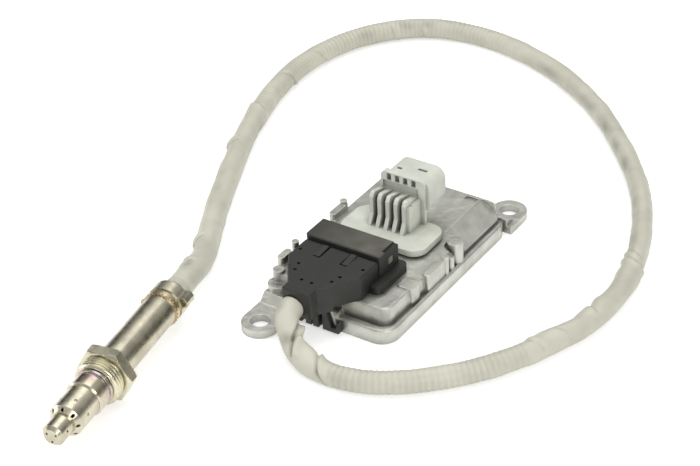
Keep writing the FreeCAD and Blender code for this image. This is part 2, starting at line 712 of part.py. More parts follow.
def plug_leg(x, side, width):
    """A leg down the case's front; an outer one is a loop with a window over the case's catch."""
    front = -CASE_FRONT - LEG_GAP
    half = width / 2
    leg = box(x - half, x + half, front - LEG_THICK, front, LEG_FOOT, plug_low + 1)
    if side == 0:
        return leg.cut(box(x - PIN_SIZE / 2, x + PIN_SIZE / 2, front - LEG_THICK - 1, front + 1, 0, LEG_FOOT * 3))
    sill = CATCH_FOOT - FIT_GAP
    lean = side * CATCH_LEAN / 2
    room = CATCH_THICK / 2 + LEG_GAP
    window = [(x - lean - side * room, plug_low - LEG_GAP), (x + side * (half + 1), plug_low - LEG_GAP)]
    window += [(x + side * (half + 1), RIM_HEIGHT + LOOP_RISE), (x + lean + side * room, sill)]
    window += [(x + lean - side * room, sill)]
    return leg.cut(end_profile(window, front - LEG_THICK - 1, front + 1))


def plug_cuts():
    """Small round holes, and the slits that free the two latch tongues in the top."""
    cuts = []
    for side in (-1, 1):
        for x, y in PLUG_HOLES:
            cuts.append(disc(PLUG_HOLE, PLASTIC_X + side * x, y, plug_top - PLUG_HOLE_DEPTH, plug_top + 1))
        low = plug_top - PLUG_CHAMFER * 2
        tongue_front = PLUG_BACK - LATCH_LONG
        inner = PLASTIC_X + side * (LATCH_X - LATCH_WIDTH / 2)
        outer = PLASTIC_X + side * (LATCH_X + LATCH_WIDTH / 2)
        slit = sorted((inner, inner - side * LATCH_SLIT))
        cuts.append(box(slit[0], slit[1], tongue_front - LATCH_SLIT, PLUG_BACK + 1, low, plug_top + 1))
        ends = sorted((inner, outer))
        cuts.append(box(ends[0], ends[1], tongue_front - LATCH_SLIT, tongue_front, low, plug_top + 1))
    return cuts


def build_plug(header, pins):
    body = outline_plate(plug_outline(), plug_low, plug_top)
    body = body.makeFillet(PLUG_EDGE, upright_edges(body))
    body = body.makeChamfer(PLUG_CHAMFER, edges_at(body, plug_top))
    half = COLLAR_WIDTH / 2 + 1
    step = box(PLASTIC_X - half, PLASTIC_X + half, COLLAR_FRONT - FIT_GAP, 0, 0, collar_top + FIT_GAP)
    over_deck = box(PLASTIC_X - half, PLASTIC_X + half, -CASE_FRONT - LEG_GAP, 0, 0, DECK_HEIGHT + PLUG_GAP)
    room = TONGUE_WIDTH / 2 + FIT_GAP
    mouth = box(PLASTIC_X - room, PLASTIC_X + room, TOWER_FRONT - TONGUE_LONG - 3 * PIN_SIZE, 0,
                tongue_z - FIT_GAP, tongue_z + TONGUE_TALL + FIT_GAP)
    body = body.cut(step).cut(over_deck).cut(mouth)
    legs = [plug_leg(PLASTIC_X, 0, MIDDLE_LEG)]
    legs += [plug_leg(PLASTIC_X + side * LEG_PITCH, side, LEG_WIDTH) for side in (-1, 1)]
    body = body.multiFuse(legs)
    ear_room = box(-CASE_LEFT, -EAR_X + EAR_RADIUS + LEG_GAP, -EAR_Y, -CASE_FRONT, 0, RIM_HEIGHT + LEG_GAP)
    for tool in plug_cuts() + [ear_room, header, pins]:
        body = body.cut(tool)
    for side in (-1, 1):
        tongue_x = PLASTIC_X + side * LATCH_X
        wedge = [(PLUG_BACK - LATCH_LONG, plug_top - FIT_GAP), (PLUG_BACK - LATCH_LONG, plug_top)]
        wedge += [(PLUG_BACK - PLUG_EDGE, plug_top + LATCH_SLIT), (PLUG_BACK - PLUG_EDGE, plug_top - FIT_GAP)]
        body = body.fuse(side_profile(wedge, tongue_x - LATCH_WIDTH / 2, tongue_x + LATCH_WIDTH / 2))
    return body.removeSplitter()


def build_bar():
    """The lock bar: a cap over the header's tower with a cheek down each side."""
    right = PLASTIC_X + bar_half
    cap = box(PLASTIC_X - bar_half, right, BAR_FRONT, BAR_BACK, collar_top, bar_top)
    cap = cap.makeFillet(BAR_CORNER, [e for e in upright_edges(cap) if e.BoundBox.YMax < TOWER_FRONT + 1])
    cap = cap.makeChamfer(PLUG_CHAMFER, edges_at(cap, bar_top))
    hollow_half = TOWER_WIDTH / 2 + FIT_GAP
    hollow = box(PLASTIC_X - hollow_half, PLASTIC_X + hollow_half, BAR_FRONT - 1, BAR_BACK + 1,
                 collar_top - 1, tower_top + FIT_GAP)
    step = box(right - BAR_STEP, right + 1, BAR_FRONT + 2 * BAR_STEP, BAR_BACK + 1, bar_top - BAR_STEP_DROP, bar_top + 1)
    slot_front = BAR_FRONT + 3 * BAR_STEP
    slot = box(right - BAR_CHEEK / 2, right + 1, slot_front, slot_front + 2 * BAR_STEP, collar_top + BAR_STEP,
               bar_top - 2 * BAR_STEP)
    return cap.cut(hollow).cut(step).cut(slot).removeSplitter()


header_pins = Part.makeCompound([header_pin(index) for index in range(PIN_COUNT)])
save("header_pins", header_pins)
header = build_header(header_pins)
save("cable_header", header)
save("cable_plug", build_plug(header, header_pins))
save("lock_bar", build_bar())

# Stations along the probe, from its tip
shield_start = TIP_LONG
body_start = shield_start + SHIELD_LONG
shoulder_end = body_start + SHOULDER_LONG
nut_start = shoulder_end + NUT_GAP
hex_start = nut_start + THREAD_LONG
nut_end = hex_start + HEX_LONG
tube_start = nut_end + NECK_GAP
tube_end = tube_start + TUBE_LONG
band_start = tube_end + BAND_SETBACK
band_end = band_start + BAND_WIDTH
ferrule_end = tube_end + FERRULE_LONG
grommet_end = ferrule_end + GROMMET_REACH
powder_start = body_start + SHIELD_WALL + CERAMIC_LONG
rear_ceramic_start = powder_start + POWDER_LONG
bush_start = tube_start + BUSH_SETBACK
bush_end = bush_start + BUSH_LONG
element_end = bush_start + ELEMENT_GRIP
ferrule_radius = TUBE_RADIUS - FERRULE_WALL
ferrule_tip = TUBE_RADIUS - FERRULE_TAPER


def side_drill(radius, station, low, high, turn):
    """A round hole that points outward from the probe's axis."""
    drill = Part.makeCylinder(radius, high - low, vec(0, station, low), vec(0, 0, 1))
    drill.rotate(vec(0, 0, 0), vec(0, 1, 0), turn)
    return drill


def build_inner_shield():
    inner = TIP_RADIUS - SHIELD_WALL
    seat = SHIELD_RADIUS - SHIELD_WALL - SLIP_GAP
    flare = shield_start + SHIELD_CONE * 2
    flare_end = flare + seat - TIP_RADIUS
    line = [(0, 0), (0, TIP_RADIUS - TIP_EDGE), (TIP_EDGE, TIP_RADIUS), (flare, TIP_RADIUS)]
    line += [(flare_end, seat), (body_start, seat), (body_start, seat - SHIELD_WALL)]
    line += [(flare_end + SHIELD_WALL / 2, seat - SHIELD_WALL), (flare + SHIELD_WALL / 2, inner)]
    line += [(TIP_EDGE + SHIELD_WALL, inner), (SHIELD_WALL, TIP_RADIUS - TIP_EDGE - SHIELD_WALL / 2)]
    line += [(SHIELD_WALL, 0)]
    holes = []
    for index in range(3):
        angle = math.radians(270 + 120 * index)
        holes.append(rod(TIP_HOLE, -1, 2 * SHIELD_WALL, TIP_CIRCLE * math.cos(angle), TIP_CIRCLE * math.sin(angle)))
        holes.append(side_drill(TIP_HOLE, TIP_LONG / 2, TIP_RADIUS / 2, TIP_RADIUS + 1, 319 + 120 * index))
    return turned(line).cut(fuse_all(holes))


def build_outer_shield():
    bore = TIP_RADIUS + SLIP_GAP
    inner = SHIELD_RADIUS - SHIELD_WALL
    cone_end = shield_start + SHIELD_CONE
    shoulder = SHIELD_RADIUS - SHIELD_CONE * 0.85
    line = [(shield_start, bore), (shield_start, shoulder), (cone_end, SHIELD_RADIUS)]
    line += [(body_start, SHIELD_RADIUS), (body_start, inner), (cone_end + SHIELD_WALL / 2, inner)]
    line += [(shield_start + SHIELD_WALL, shoulder - SHIELD_WALL / 2), (shield_start + SHIELD_WALL, bore)]
    holes = []
    for index in range(SHIELD_HOLES):
        front = rod(SHIELD_HOLE, shield_start - 1, cone_end + 1, (shoulder + SHIELD_RADIUS) / 2 - SHIELD_WALL / 2)
        front.rotate(vec(0, 0, 0), vec(0, 1, 0), 360.0 / SHIELD_HOLES * index)
        holes.append(front)
    for index in range(SHIELD_HOLES - 2):
        turn = 20 + 360.0 / (SHIELD_HOLES - 2) * index
        holes.append(side_drill(SHIELD_HOLE, shield_start + SHIELD_LONG * 0.46, inner - 1, SHIELD_RADIUS + 1, turn))
    return turned(line).cut(fuse_all(holes))


def build_sensor_body():
    """The turned body: a shoulder with an undercut and a raised sealing ridge, and a neck under the nut."""
    ridge = shoulder_end - 4 * COLLAR_RIDGE
    undercut = ridge - 4 * COLLAR_RIDGE
    line = [(body_start, BODY_BORE), (body_start, SHOULDER_RADIUS - SHIELD_WALL)]
    line += [(body_start + SHIELD_WALL, SHOULDER_RADIUS), (undercut, SHOULDER_RADIUS)]
    line += [(undercut + COLLAR_RIDGE, SHOULDER_RADIUS - 2 * COLLAR_RIDGE)]
    line += [(ridge - COLLAR_RIDGE, SHOULDER_RADIUS - 2 * COLLAR_RIDGE), (ridge, SHOULDER_RADIUS + COLLAR_RIDGE)]
    line += [(shoulder_end, SHOULDER_RADIUS + COLLAR_RIDGE), (shoulder_end, TUBE_RADIUS), (tube_start, TUBE_RADIUS)]
    spigot = TUBE_RADIUS - TUBE_WALL - SLIP_GAP
    line += [(tube_start, spigot), (tube_start + SPIGOT_LONG, spigot), (tube_start + SPIGOT_LONG, BODY_BORE)]
    return turned(line)


def build_nut():
    """The hollow gland nut: a hexagon behind a threaded neck, turned smooth at the crests."""
    bore = TUBE_RADIUS + RUN_CLEARANCE
    lead = THREAD_RADIUS / 12
    neck = turned([(nut_start, bore), (nut_start, THREAD_RADIUS - lead), (nut_start + lead, THREAD_RADIUS),
                   (hex_start, THREAD_RADIUS), (hex_start, bore)])
    corner = NUT_FLATS / 2 / math.cos(math.radians(30))
    points = []
    for index in range(6):
        angle = math.radians(60 * index)
        points.append((corner * math.cos(angle), corner * math.sin(angle)))
    hexagon = end_profile(points, hex_start, nut_end)
    slant = corner - NUT_FLATS / 2
    dome = turned([(hex_start, 0), (hex_start, NUT_FLATS / 2), (hex_start + slant * 0.7, corner + 1),
                   (nut_end - slant * 0.4, corner + 1), (nut_end, corner - slant / 2), (nut_end, 0)])
    return neck.fuse(hexagon.common(dome).cut(rod(bore, hex_start - 1, nut_end + 1))).removeSplitter()


def build_crimp_ring():
    """The toothed ring rolled over the tube's end, with a round bump on one side."""
    start = tube_end - RING_WIDTH * 0.8
    band = ring(start, start + RING_WIDTH, RING_RADIUS, TUBE_RADIUS)
    tooth = math.pi * RING_RADIUS / RING_TEETH * 0.4
    depth = (RING_RADIUS - TUBE_RADIUS) * 0.4
    gaps = []
    for index in range(RING_TEETH):
        gap = box(TUBE_RADIUS + depth, RING_RADIUS + 1, start - 1, start + RING_WIDTH * 0.4, -tooth, tooth)
        gap.rotate(vec(0, 0, 0), vec(0, 1, 0), 360.0 / RING_TEETH * index)
        gaps.append(gap)
    angle = math.radians(170)
    place = vec(RING_RADIUS * math.cos(angle), start + RING_WIDTH / 2, RING_RADIUS * math.sin(angle))
    bump = Part.makeSphere(RING_BUMP, place).cut(rod(TUBE_RADIUS, start - 2 * RING_BUMP, start + 3 * RING_BUMP))
    return band.cut(Part.makeCompound(gaps)).fuse(bump)


def build_ferrule():
    line = [(tube_end, TUBE_RADIUS - FERRULE_LIP), (tube_end, TUBE_RADIUS), (band_end, TUBE_RADIUS)]
    line += [(ferrule_end, ferrule_tip), (ferrule_end, ferrule_tip - FERRULE_WALL)]
    line += [(band_end, ferrule_radius), (tube_end + FERRULE_WALL, ferrule_radius)]
    line += [(tube_end + FERRULE_WALL, TUBE_RADIUS - FERRULE_LIP)]
    return turned(line)


def build_band():
    """The ear clamp: a band with one raised loop."""
    outer = TUBE_RADIUS + BAND_THICK
    band = ring(band_start, band_end, outer, TUBE_RADIUS)
    foot = outer - BAND_THICK * 0.7
    rise = outer + BAND_EAR
    loop = [(foot, -BAND_EAR), (rise, -BAND_EAR * 0.75), (rise + BAND_THICK, 0), (rise, BAND_EAR * 0.75)]
    loop += [(foot, BAND_EAR), (foot, BAND_EAR - BAND_THICK), (rise - BAND_THICK, BAND_EAR * 0.75 - BAND_THICK)]
    loop += [(rise, 0), (rise - BAND_THICK, BAND_THICK - BAND_EAR * 0.75), (foot, BAND_THICK - BAND_EAR)]
    raised = end_profile(loop, band_start, band_end)
    raised.rotate(vec(0, 0, 0), vec(0, 1, 0), -18)
    return band.fuse(raised.cut(rod(TUBE_RADIUS + FIT_GAP, band_start - 1, band_end + 1)))


def wire_places():
    places = []
    for index in range(WIRE_COUNT):
        angle = math.radians(30 + 360.0 / WIRE_COUNT * index)
        places.append((WIRE_CIRCLE * math.cos(angle), WIRE_CIRCLE * math.sin(angle)))
    return places


def build_wires(start, grow=0.0):
    end = grommet_end - WIRE_TAIL
    return Part.makeCompound([rod(WIRE_RADIUS + grow, start, end, x, z) for x, z in wire_places()])


def build_grommet():
    front = tube_end + FERRULE_WALL + SLIP_GAP
    line = [(front, 0), (front, ferrule_radius - SLIP_GAP), (band_end - SLIP_GAP, ferrule_radius - SLIP_GAP)]
    line += [(ferrule_end, ferrule_tip - FERRULE_WALL - SLIP_GAP), (grommet_end, CABLE_RADIUS + WIRE_RADIUS / 3)]
    line += [(grommet_end, 0)]
    return turned(line).cut(build_wires(front - 1, SLIP_GAP))


def build_element():
    half = ELEMENT_WIDTH / 2
    thick = ELEMENT_THICK / 2
    return box(-half, half, ELEMENT_INSET, element_end, -thick, thick)


def build_holder(start, end):
    """A round ceramic or powder bushing with a slot for the sensing strip."""
    half = ELEMENT_WIDTH / 2 + SLIP_GAP
    thick = ELEMENT_THICK / 2 + SLIP_GAP
    return rod(BODY_BORE - SLIP_GAP, start, end).cut(box(-half, half, start - 1, end + 1, -thick, thick))


def build_rear_bush():
    half = ELEMENT_WIDTH / 2 + SHIELD_WALL
    thick = ELEMENT_THICK / 2 + 2 * BAND_THICK * 0.7
    pocket = box(-half, half, bush_start - 1, element_end + NECK_GAP, -thick, thick)
    seats = [rod(WIRE_RADIUS, bush_end - CRIMP_LONG, bush_end + 1, x, z) for x, z in wire_places()]
    return rod(TUBE_RADIUS - TUBE_WALL - FIT_GAP, bush_start, bush_end).cut(pocket).cut(Part.makeCompound(seats))


def build_clips():
    """Spring contacts that press on the strip, and the crimps that hold the wires."""
    clips = []
    leaf = ELEMENT_WIDTH / 10
    face = ELEMENT_THICK / 2
    for x in (-3.5 * leaf, 0.0, 3.5 * leaf):
        for side in (-1, 1):
            z = sorted((side * face, side * (face + leaf)))
            clips.append(box(x - leaf, x + leaf, bush_start + leaf, element_end, z[0], z[1]))
    clips += [rod(WIRE_RADIUS, bush_end - CRIMP_LONG, bush_end, x, z) for x, z in wire_places()]
    return Part.makeCompound(clips)


def build_wire_seal():
    seal_start = tube_end - SEAL_LONG
    plug = rod(TUBE_RADIUS - TUBE_WALL - SLIP_GAP, seal_start, tube_end)
    return plug.cut(build_wires(seal_start - 1, SLIP_GAP))


probe_parts = {
    "inner_shield": build_inner_shield(),
    "outer_shield": build_outer_shield(),
    "sensor_body": build_sensor_body(),
    "gland_nut": build_nut(),
    "rear_tube": ring(tube_start, tube_end, TUBE_RADIUS, TUBE_RADIUS - TUBE_WALL),
    "crimp_ring": build_crimp_ring(),
    "end_ferrule": build_ferrule(),
    "ear_clamp": build_band(),
    "cable_grommet": build_grommet(),
    "sensing_strip": build_element(),
    "front_ceramic": build_holder(body_start + SHIELD_WALL, powder_start),
    "powder_seal": build_holder(powder_start, rear_ceramic_start),
    "rear_ceramic": build_holder(rear_ceramic_start, rear_ceramic_start + REAR_CERAMIC_LONG),
    "contact_holder": build_rear_bush(),
    "contact_clips": build_clips(),
    "wire_seal": build_wire_seal(),
    "lead_wires": build_wires(bush_end),
}
for name, shape in probe_parts.items():
    save(name, on_probe(shape))

# The cable's route from the plug to the probe, lying on the ground
FLOOR = CABLE_RADIUS
plug_exit = vec(PLASTIC_X - CABLE_SHIFT, PLUG_NOSE_Y, (plug_top + plug_low) / 2 - CABLE_DROP)
probe_exit = probe_point(grommet_end)
after_plug = plug_exit + vec(0, -EXIT_RUN, 0)
before_probe = probe_point(grommet_end + ENTRY_RUN)
ROUTE = [
    (-5.4, -71.5, 15.6), (-2.2, -74.7, 12.9), (2.5, -77.1, 9.4), (8.9, -78.6, FLOOR + 0.7), (18.0, -79.4, FLOOR),
    (29.5, -78.8, FLOOR), (43.0, -73.9, FLOOR), (58.0, -63.0, FLOOR), (75.0, -44.0, FLOOR),
    (88.0, -21.0, FLOOR), (95.5, 5.0, FLOOR),
    (95.0, 34.0, FLOOR), (87.0, 64.0, FLOOR), (71.0, 99.0, FLOOR), (48.0, 131.0, FLOOR), (15.0, 162.5, FLOOR),
    (-22.0, 185.0, FLOOR), (-62.0, 197.0, FLOOR), (-98.0, 194.0, FLOOR), (-122.0, 171.0, FLOOR),
    (-133.0, 139.0, FLOOR), (-132.0, 104.0, FLOOR), (-119.5, 62.0, FLOOR), (-104.5, 26.0, FLOOR),
    (-90.0, -4.0, FLOOR), (-77.5, -27.5, FLOOR), (-68.5, -43.0, FLOOR + 2.0),
]


def cable_path():
    """Straight runs joined by arcs that are as large as their two runs allow."""
    points = [plug_exit, after_plug] + [vec(*point) for point in ROUTE] + [before_probe, probe_exit]
    edges = []
    start = points[0]
    radii = []
    for before, corner, after in zip(points, points[1:], points[2:]):
        incoming = (before - corner).normalize()
        outgoing = (after - corner).normalize()
        shorter = min(before.distanceToPoint(corner), corner.distanceToPoint(after))
        turn = math.pi - incoming.getAngle(outgoing)
        setback = 0.45 * shorter
        radius = setback / math.tan(turn / 2)
        radii.append(round(radius))
        middle = (incoming + outgoing).normalize()
        centre = corner + middle * math.hypot(radius, setback)
        first = corner + incoming * setback
        last = corner + outgoing * setback
        edges.append(Part.LineSegment(start, first).toShape())
        edges.append(Part.Arc(first, centre - middle * radius, last).toShape())
        start = last
    edges.append(Part.LineSegment(start, points[-1]).toShape())
    print("cable radii", radii)
    return Part.Wire(edges)


path = cable_path()
section = Part.Wire(Part.makeCircle(CABLE_RADIUS, plug_exit, after_plug - plug_exit))
cable = path.makePipeShell([section], True, False, 2)
ideal = math.pi * CABLE_RADIUS ** 2 * path.Length
print("cable length", round(path.Length, 1), "volume share", round(cable.Volume / ideal, 4))
save("sensor_cable", cable)
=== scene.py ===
import math

import bpy
from bpy.props import FloatProperty, FloatVectorProperty, IntProperty, PointerProperty
from mathutils import Matrix, Vector, noise


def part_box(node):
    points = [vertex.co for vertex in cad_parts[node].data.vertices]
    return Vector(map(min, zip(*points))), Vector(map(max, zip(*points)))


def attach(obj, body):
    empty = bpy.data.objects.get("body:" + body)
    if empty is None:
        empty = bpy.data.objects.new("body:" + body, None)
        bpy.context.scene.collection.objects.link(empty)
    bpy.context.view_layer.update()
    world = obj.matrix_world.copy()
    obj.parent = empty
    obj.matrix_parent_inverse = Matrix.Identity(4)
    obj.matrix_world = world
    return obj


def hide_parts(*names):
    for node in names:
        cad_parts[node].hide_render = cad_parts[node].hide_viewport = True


bl_info = {
    "name": "Exhaust gas sensor looks",
    "version": (1, 0, 0),
    "blender": (4, 5, 0),
    "location": "3D View > Sidebar > Sensor",
    "description": "Finishes, sleeved cable, threaded nut and stage for an exhaust gas sensor",
    "category": "Object",
}

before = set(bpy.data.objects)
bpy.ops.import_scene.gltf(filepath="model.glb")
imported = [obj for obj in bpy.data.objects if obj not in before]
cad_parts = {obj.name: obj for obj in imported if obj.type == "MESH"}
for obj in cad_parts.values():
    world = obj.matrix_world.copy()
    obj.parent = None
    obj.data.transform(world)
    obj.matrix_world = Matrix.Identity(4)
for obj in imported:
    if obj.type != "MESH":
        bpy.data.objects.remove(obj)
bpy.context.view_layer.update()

# The probe's own axis, from its tip toward the cable
TIP = Vector((-0.04339, -0.17133, 0.011))
HEADING = math.radians(9.9)
ACROSS = Vector((math.cos(HEADING), math.sin(HEADING), 0.0))
ALONG = Vector((-math.sin(HEADING), math.cos(HEADING), 0.0))
UP = Vector((0.0, 0.0, 1.0))

# The cable's route from the plug to the probe; LYING is its height where it lies on the floor
LYING = 0.0055
ROUTE = [
    (-0.0070, -0.0620, 0.0170), (-0.0068, -0.0665, 0.0166), (-0.0044, -0.0702, 0.0148),
    (-0.0010, -0.0733, 0.0120), (0.0036, -0.0763, 0.0088), (0.0096, -0.0784, 0.0062),
    (0.0180, -0.0794, LYING), (0.0295, -0.0788, LYING), (0.0430, -0.0739, LYING),
    (0.0580, -0.0630, LYING), (0.0750, -0.0440, LYING), (0.0868, -0.0206, LYING),
    (0.0962, 0.0050, LYING), (0.0964, 0.0340, LYING), (0.0884, 0.0648, LYING),
    (0.0722, 0.1000, LYING), (0.0480, 0.1310, LYING), (0.0158, 0.1639, LYING),
    (-0.0217, 0.1868, LYING), (-0.0620, 0.1985, LYING), (-0.0980, 0.1940, LYING),
    (-0.1220, 0.1710, LYING), (-0.1330, 0.1390, LYING), (-0.1320, 0.1040, LYING),
    (-0.1195, 0.0620, LYING), (-0.1045, 0.0260, LYING), (-0.0900, -0.0040, LYING),
    (-0.0775, -0.0275, LYING), (-0.0685, -0.0430, 0.0075), (-0.063334, -0.057057, 0.0110),
    (-0.061271, -0.068879, 0.0110),
]
CABLE_LENGTH = 0.752
# How full the loose sleeve stands: station along the cable and share of the full radius
GIRTH = [
    (0.0, 0.95), (0.012, 0.87), (0.04, 0.88), (0.10, 0.90), (0.16, 0.89), (0.22, 0.84),
    (0.33, 0.85), (0.40, 0.90), (0.50, 0.93), (0.60, 0.96), (0.752, 1.0),
]

# The floor's half side and how far it lies below the parts
FLOOR_HALF = 4.0
FLOOR_DROP = 0.0001
# The sky's level by height, 0 at the horizon and 1 overhead, and the share of blue in it
SKY_BANDS = [(0.0, 0.75), (0.10, 0.30), (0.30, 0.45), (0.55, 1.0), (0.9, 1.1)]
SKY_BLUE = 0.98
# The sky falls to this level on the left, between two values of its direction's X
SKY_LEFT_LEVEL = 0.25
SKY_LEFT = (-0.85, -0.35)
# Lamps: name, place, aim, width, length, the setting with the power, and the share of it
LAMPS = [
    ("key lamp", (-0.25, 0.20, 1.05), (0.0, 0.0, 0.0), 1.4, 1.0, "key_power", 1.0),
    ("fill lamp", (0.90, -0.70, 0.65), (0.0, -0.02, 0.0), 0.7, 0.6, "fill_power", 1.2),
    ("side lamp", (-0.95, -0.45, 0.40), (-0.05, -0.10, 0.0), 0.25, 0.7, "fill_power", 0.5),
]
CAMERA_PLACE = Vector((0.37481, -0.56376, 0.47245))
CAMERA_AZIMUTH = math.radians(35.0)
CAMERA_ELEVATION = math.radians(33.75)
CAMERA_ROLL = math.radians(-2.96)
CAMERA_SENSOR = 36.0
CAMERA_CLIP = (0.01, 50.0)

# Rays that the shader sends round an edge, for rounded edges and the painted edge highlight, and
# into a hollow for the painted shade, and how far it looks there
EDGE_SAMPLES = 4
PAINTED_SHADE_SAMPLES = 8
PAINTED_SHADE_REACH = 0.006

# Tints that heat leaves on the probe's shoulder, between two stations from its tip
HEATED = (0.024, 0.034)
HEAT_TINTS = [
    (0.0, (0.66, 0.60, 0.50)), (0.35, (0.60, 0.47, 0.36)), (0.62, (0.44, 0.33, 0.36)),
    (0.80, (0.52, 0.45, 0.47)), (1.0, (0.60, 0.55, 0.46)),
]

# Colours of the small parts and of the parts inside
COVER_SHEET = (0.70, 0.70, 0.69)
COVER_SEAL = (0.03, 0.03, 0.03)
GASKET = (0.035, 0.035, 0.033)
BOARD = (0.02, 0.13, 0.05)
CHIPS = (0.03, 0.03, 0.032)
TIN = (0.66, 0.60, 0.44)
INSERT = (0.20, 0.19, 0.15)
GROMMET = (0.54, 0.53, 0.45)
WIRE_SEAL = (0.30, 0.28, 0.24)
CERAMIC = (0.78, 0.77, 0.71)
POWDER = (0.48, 0.47, 0.42)
WIRE_JACKET = (0.40, 0.38, 0.33)


class StageSettings(bpy.types.PropertyGroup):
    """The floor, the lamps and the camera."""
    floor_colour: FloatVectorProperty(
        name="Floor colour", description="Colour of the floor and backdrop", subtype="COLOR",
        default=(0.86, 0.86, 0.85), min=0.0, max=1.0)
    floor_lift: FloatProperty(
        name="Floor lift", description="Light added to the floor for the camera and reflections",
        default=0.42, min=0.0, max=2.0)
    world_level: FloatProperty(
        name="World level", description="Strength of the sky on the object",
        default=0.55, min=0.0, max=3.0)
    key_power: FloatProperty(
        name="Key power", description="Power of the large lamp above",
        default=5.8, min=0.0, unit="POWER")
    fill_power: FloatProperty(
        name="Fill power", description="Power of the lamp beside the camera",
        default=5.8, min=0.0, unit="POWER")
    lens: FloatProperty(
        name="Lens", description="Focal length of the camera",
        default=97.7, min=10.0, unit="CAMERA")


class MetalSettings(bpy.types.PropertyGroup):
    """Colours and texture sizes of the cast, rolled and turned metal."""
    cast_colour: FloatVectorProperty(
        name="Cast colour", description="Colour of the cast case", subtype="COLOR",
        default=(0.58, 0.58, 0.53), min=0.0, max=1.0)
    cast_grain: FloatProperty(
        name="Cast grain", description="Size of the grain of the casting",
        default=0.00045, unit="LENGTH")
    steel_colour: FloatVectorProperty(
        name="Steel colour", description="Colour of the bright steel of the probe",
        subtype="COLOR", default=(0.61, 0.57, 0.445), min=0.0, max=1.0)
    nut_colour: FloatVectorProperty(
        name="Nut colour", description="Colour of the gland nut", subtype="COLOR",
        default=(0.68, 0.64, 0.49), min=0.0, max=1.0)
    brass_colour: FloatVectorProperty(
        name="Ring colour", description="Colour of the toothed ring", subtype="COLOR",
        default=(0.62, 0.52, 0.34), min=0.0, max=1.0)
    # The edge radius also sets the width of the painted highlight along the case's edges
    edge_radius: FloatProperty(
        name="Edge radius", description="Soft edge that catches the light",
        default=0.0004, unit="LENGTH")


class PlasticSettings(bpy.types.PropertyGroup):
    """Colours of the plug, the header and the vehicle socket."""
    black_colour: FloatVectorProperty(
        name="Plug colour", description="Colour of the plug and its header", subtype="COLOR",
        default=(0.020, 0.022, 0.018), min=0.0, max=1.0)
    # The brownish top of the lock bar: partly wear, partly painted sheen
    bar_wear_and_sheen_colour: FloatVectorProperty(
        name="Bar colour", description="Colour of the worn top of the lock bar",
        subtype="COLOR", default=(0.105, 0.100, 0.080), min=0.0, max=1.0)
    socket_colour: FloatVectorProperty(
        name="Socket colour", description="Colour of the vehicle socket", subtype="COLOR",
        default=(0.66, 0.68, 0.60), min=0.0, max=1.0)
    plastic_grain: FloatProperty(
        name="Plastic grain", description="Size of the moulded grain",
        default=0.00035, unit="LENGTH")


class CableSettings(bpy.types.PropertyGroup):
    """The sleeve over the ribbed conduit."""
    colour: FloatVectorProperty(
        name="Sleeve colour", description="Colour of the sleeve", subtype="COLOR",
        default=(0.60, 0.59, 0.495), min=0.0, max=1.0)
    diameter: FloatProperty(
        name="Diameter", description="Outer diameter of the sleeve",
        default=0.011, unit="LENGTH")
    rib_pitch: FloatProperty(
        name="Rib pitch", description="Distance between the conduit's ribs",
        default=0.0025, unit="LENGTH")
    rib_height: FloatProperty(
        name="Rib height", description="How far the ribs press through the sleeve",
        default=0.00030, unit="LENGTH")
    dent_height: FloatProperty(
        name="Dent height", description="Depth of the soft dents",
        default=0.00032, unit="LENGTH")
    # The depth at which a crease gets the full painted shade
    crease_shade_depth: FloatProperty(
        name="Crease depth", description="Depth at which a crease is fully shaded",
        default=0.0009, unit="LENGTH")
    sides: IntProperty(
        name="Sides", description="Points around the sleeve", default=44, min=8)


class NutSettings(bpy.types.PropertyGroup):
    """The threaded gland nut."""
    thread_pitch: FloatProperty(
        name="Thread pitch", description="Pitch of the nut's thread",
        default=0.0015, unit="LENGTH")
    thread_depth: FloatProperty(
        name="Thread depth", description="Depth of the thread from crest to root",
        default=0.00095, unit="LENGTH")
    segments: IntProperty(
        name="Segments", description="Points around the nut", default=120, min=24)


class Nodes:
    """Short calls that add nodes to one node tree."""

    def __init__(self, tree):
        self.nodes = tree.nodes
        self.links = tree.links

    def feed(self, socket, value):
        """Join another node's output to a socket, or set the socket to a plain value."""
        if isinstance(value, bpy.types.NodeSocket):
            self.links.new(value, socket)
        else:
            socket.default_value = value

    def node(self, kind, **inputs):
        """A node of one kind, with some of its inputs fed or set."""
        made = self.nodes.new(kind)
        for name, value in inputs.items():
            self.feed(made.inputs[name], value)
        return made

    def maths(self, kind, operation, first, second):
        """A Math or Vector Math node on two values."""
        made = self.nodes.new(kind)
        made.operation = operation
        self.feed(made.inputs[0], first)
        self.feed(made.inputs[1], second)
        return made

    def ramp(self, source, stops):
        """Colours along a value; stops are (position, colour) pairs."""
        made = self.node("ShaderNodeValToRGB", Fac=source)
        elements = made.color_ramp.elements
        while len(elements) < len(stops):
            elements.new(0.5)
        for element, (position, colour) in zip(elements, stops):
            element.position = position
            element.color = (*colour, 1.0)
        return made.outputs["Color"]

    def spread(self, source, low, high, start=0.3, end=0.7):
        """A value that runs from low to high while the source runs from start to end."""
        made = self.node("ShaderNodeMapRange", Value=source, **{
            "From Min": start, "From Max": end, "To Min": low, "To Max": high})
        return made.outputs["Result"]

    def blend(self, amount, first, second, mode="MIX"):
        """Two colours mixed by an amount."""
        made = self.nodes.new("ShaderNodeMix")
        made.data_type = "RGBA"
        made.blend_type = mode
        factor, above, below = made.inputs[0], made.inputs[6], made.inputs[7]
        for socket, value in ((factor, amount), (above, first), (below, second)):
            self.feed(socket, (*value, 1.0) if isinstance(value, tuple) else value)
        return made.outputs[2]


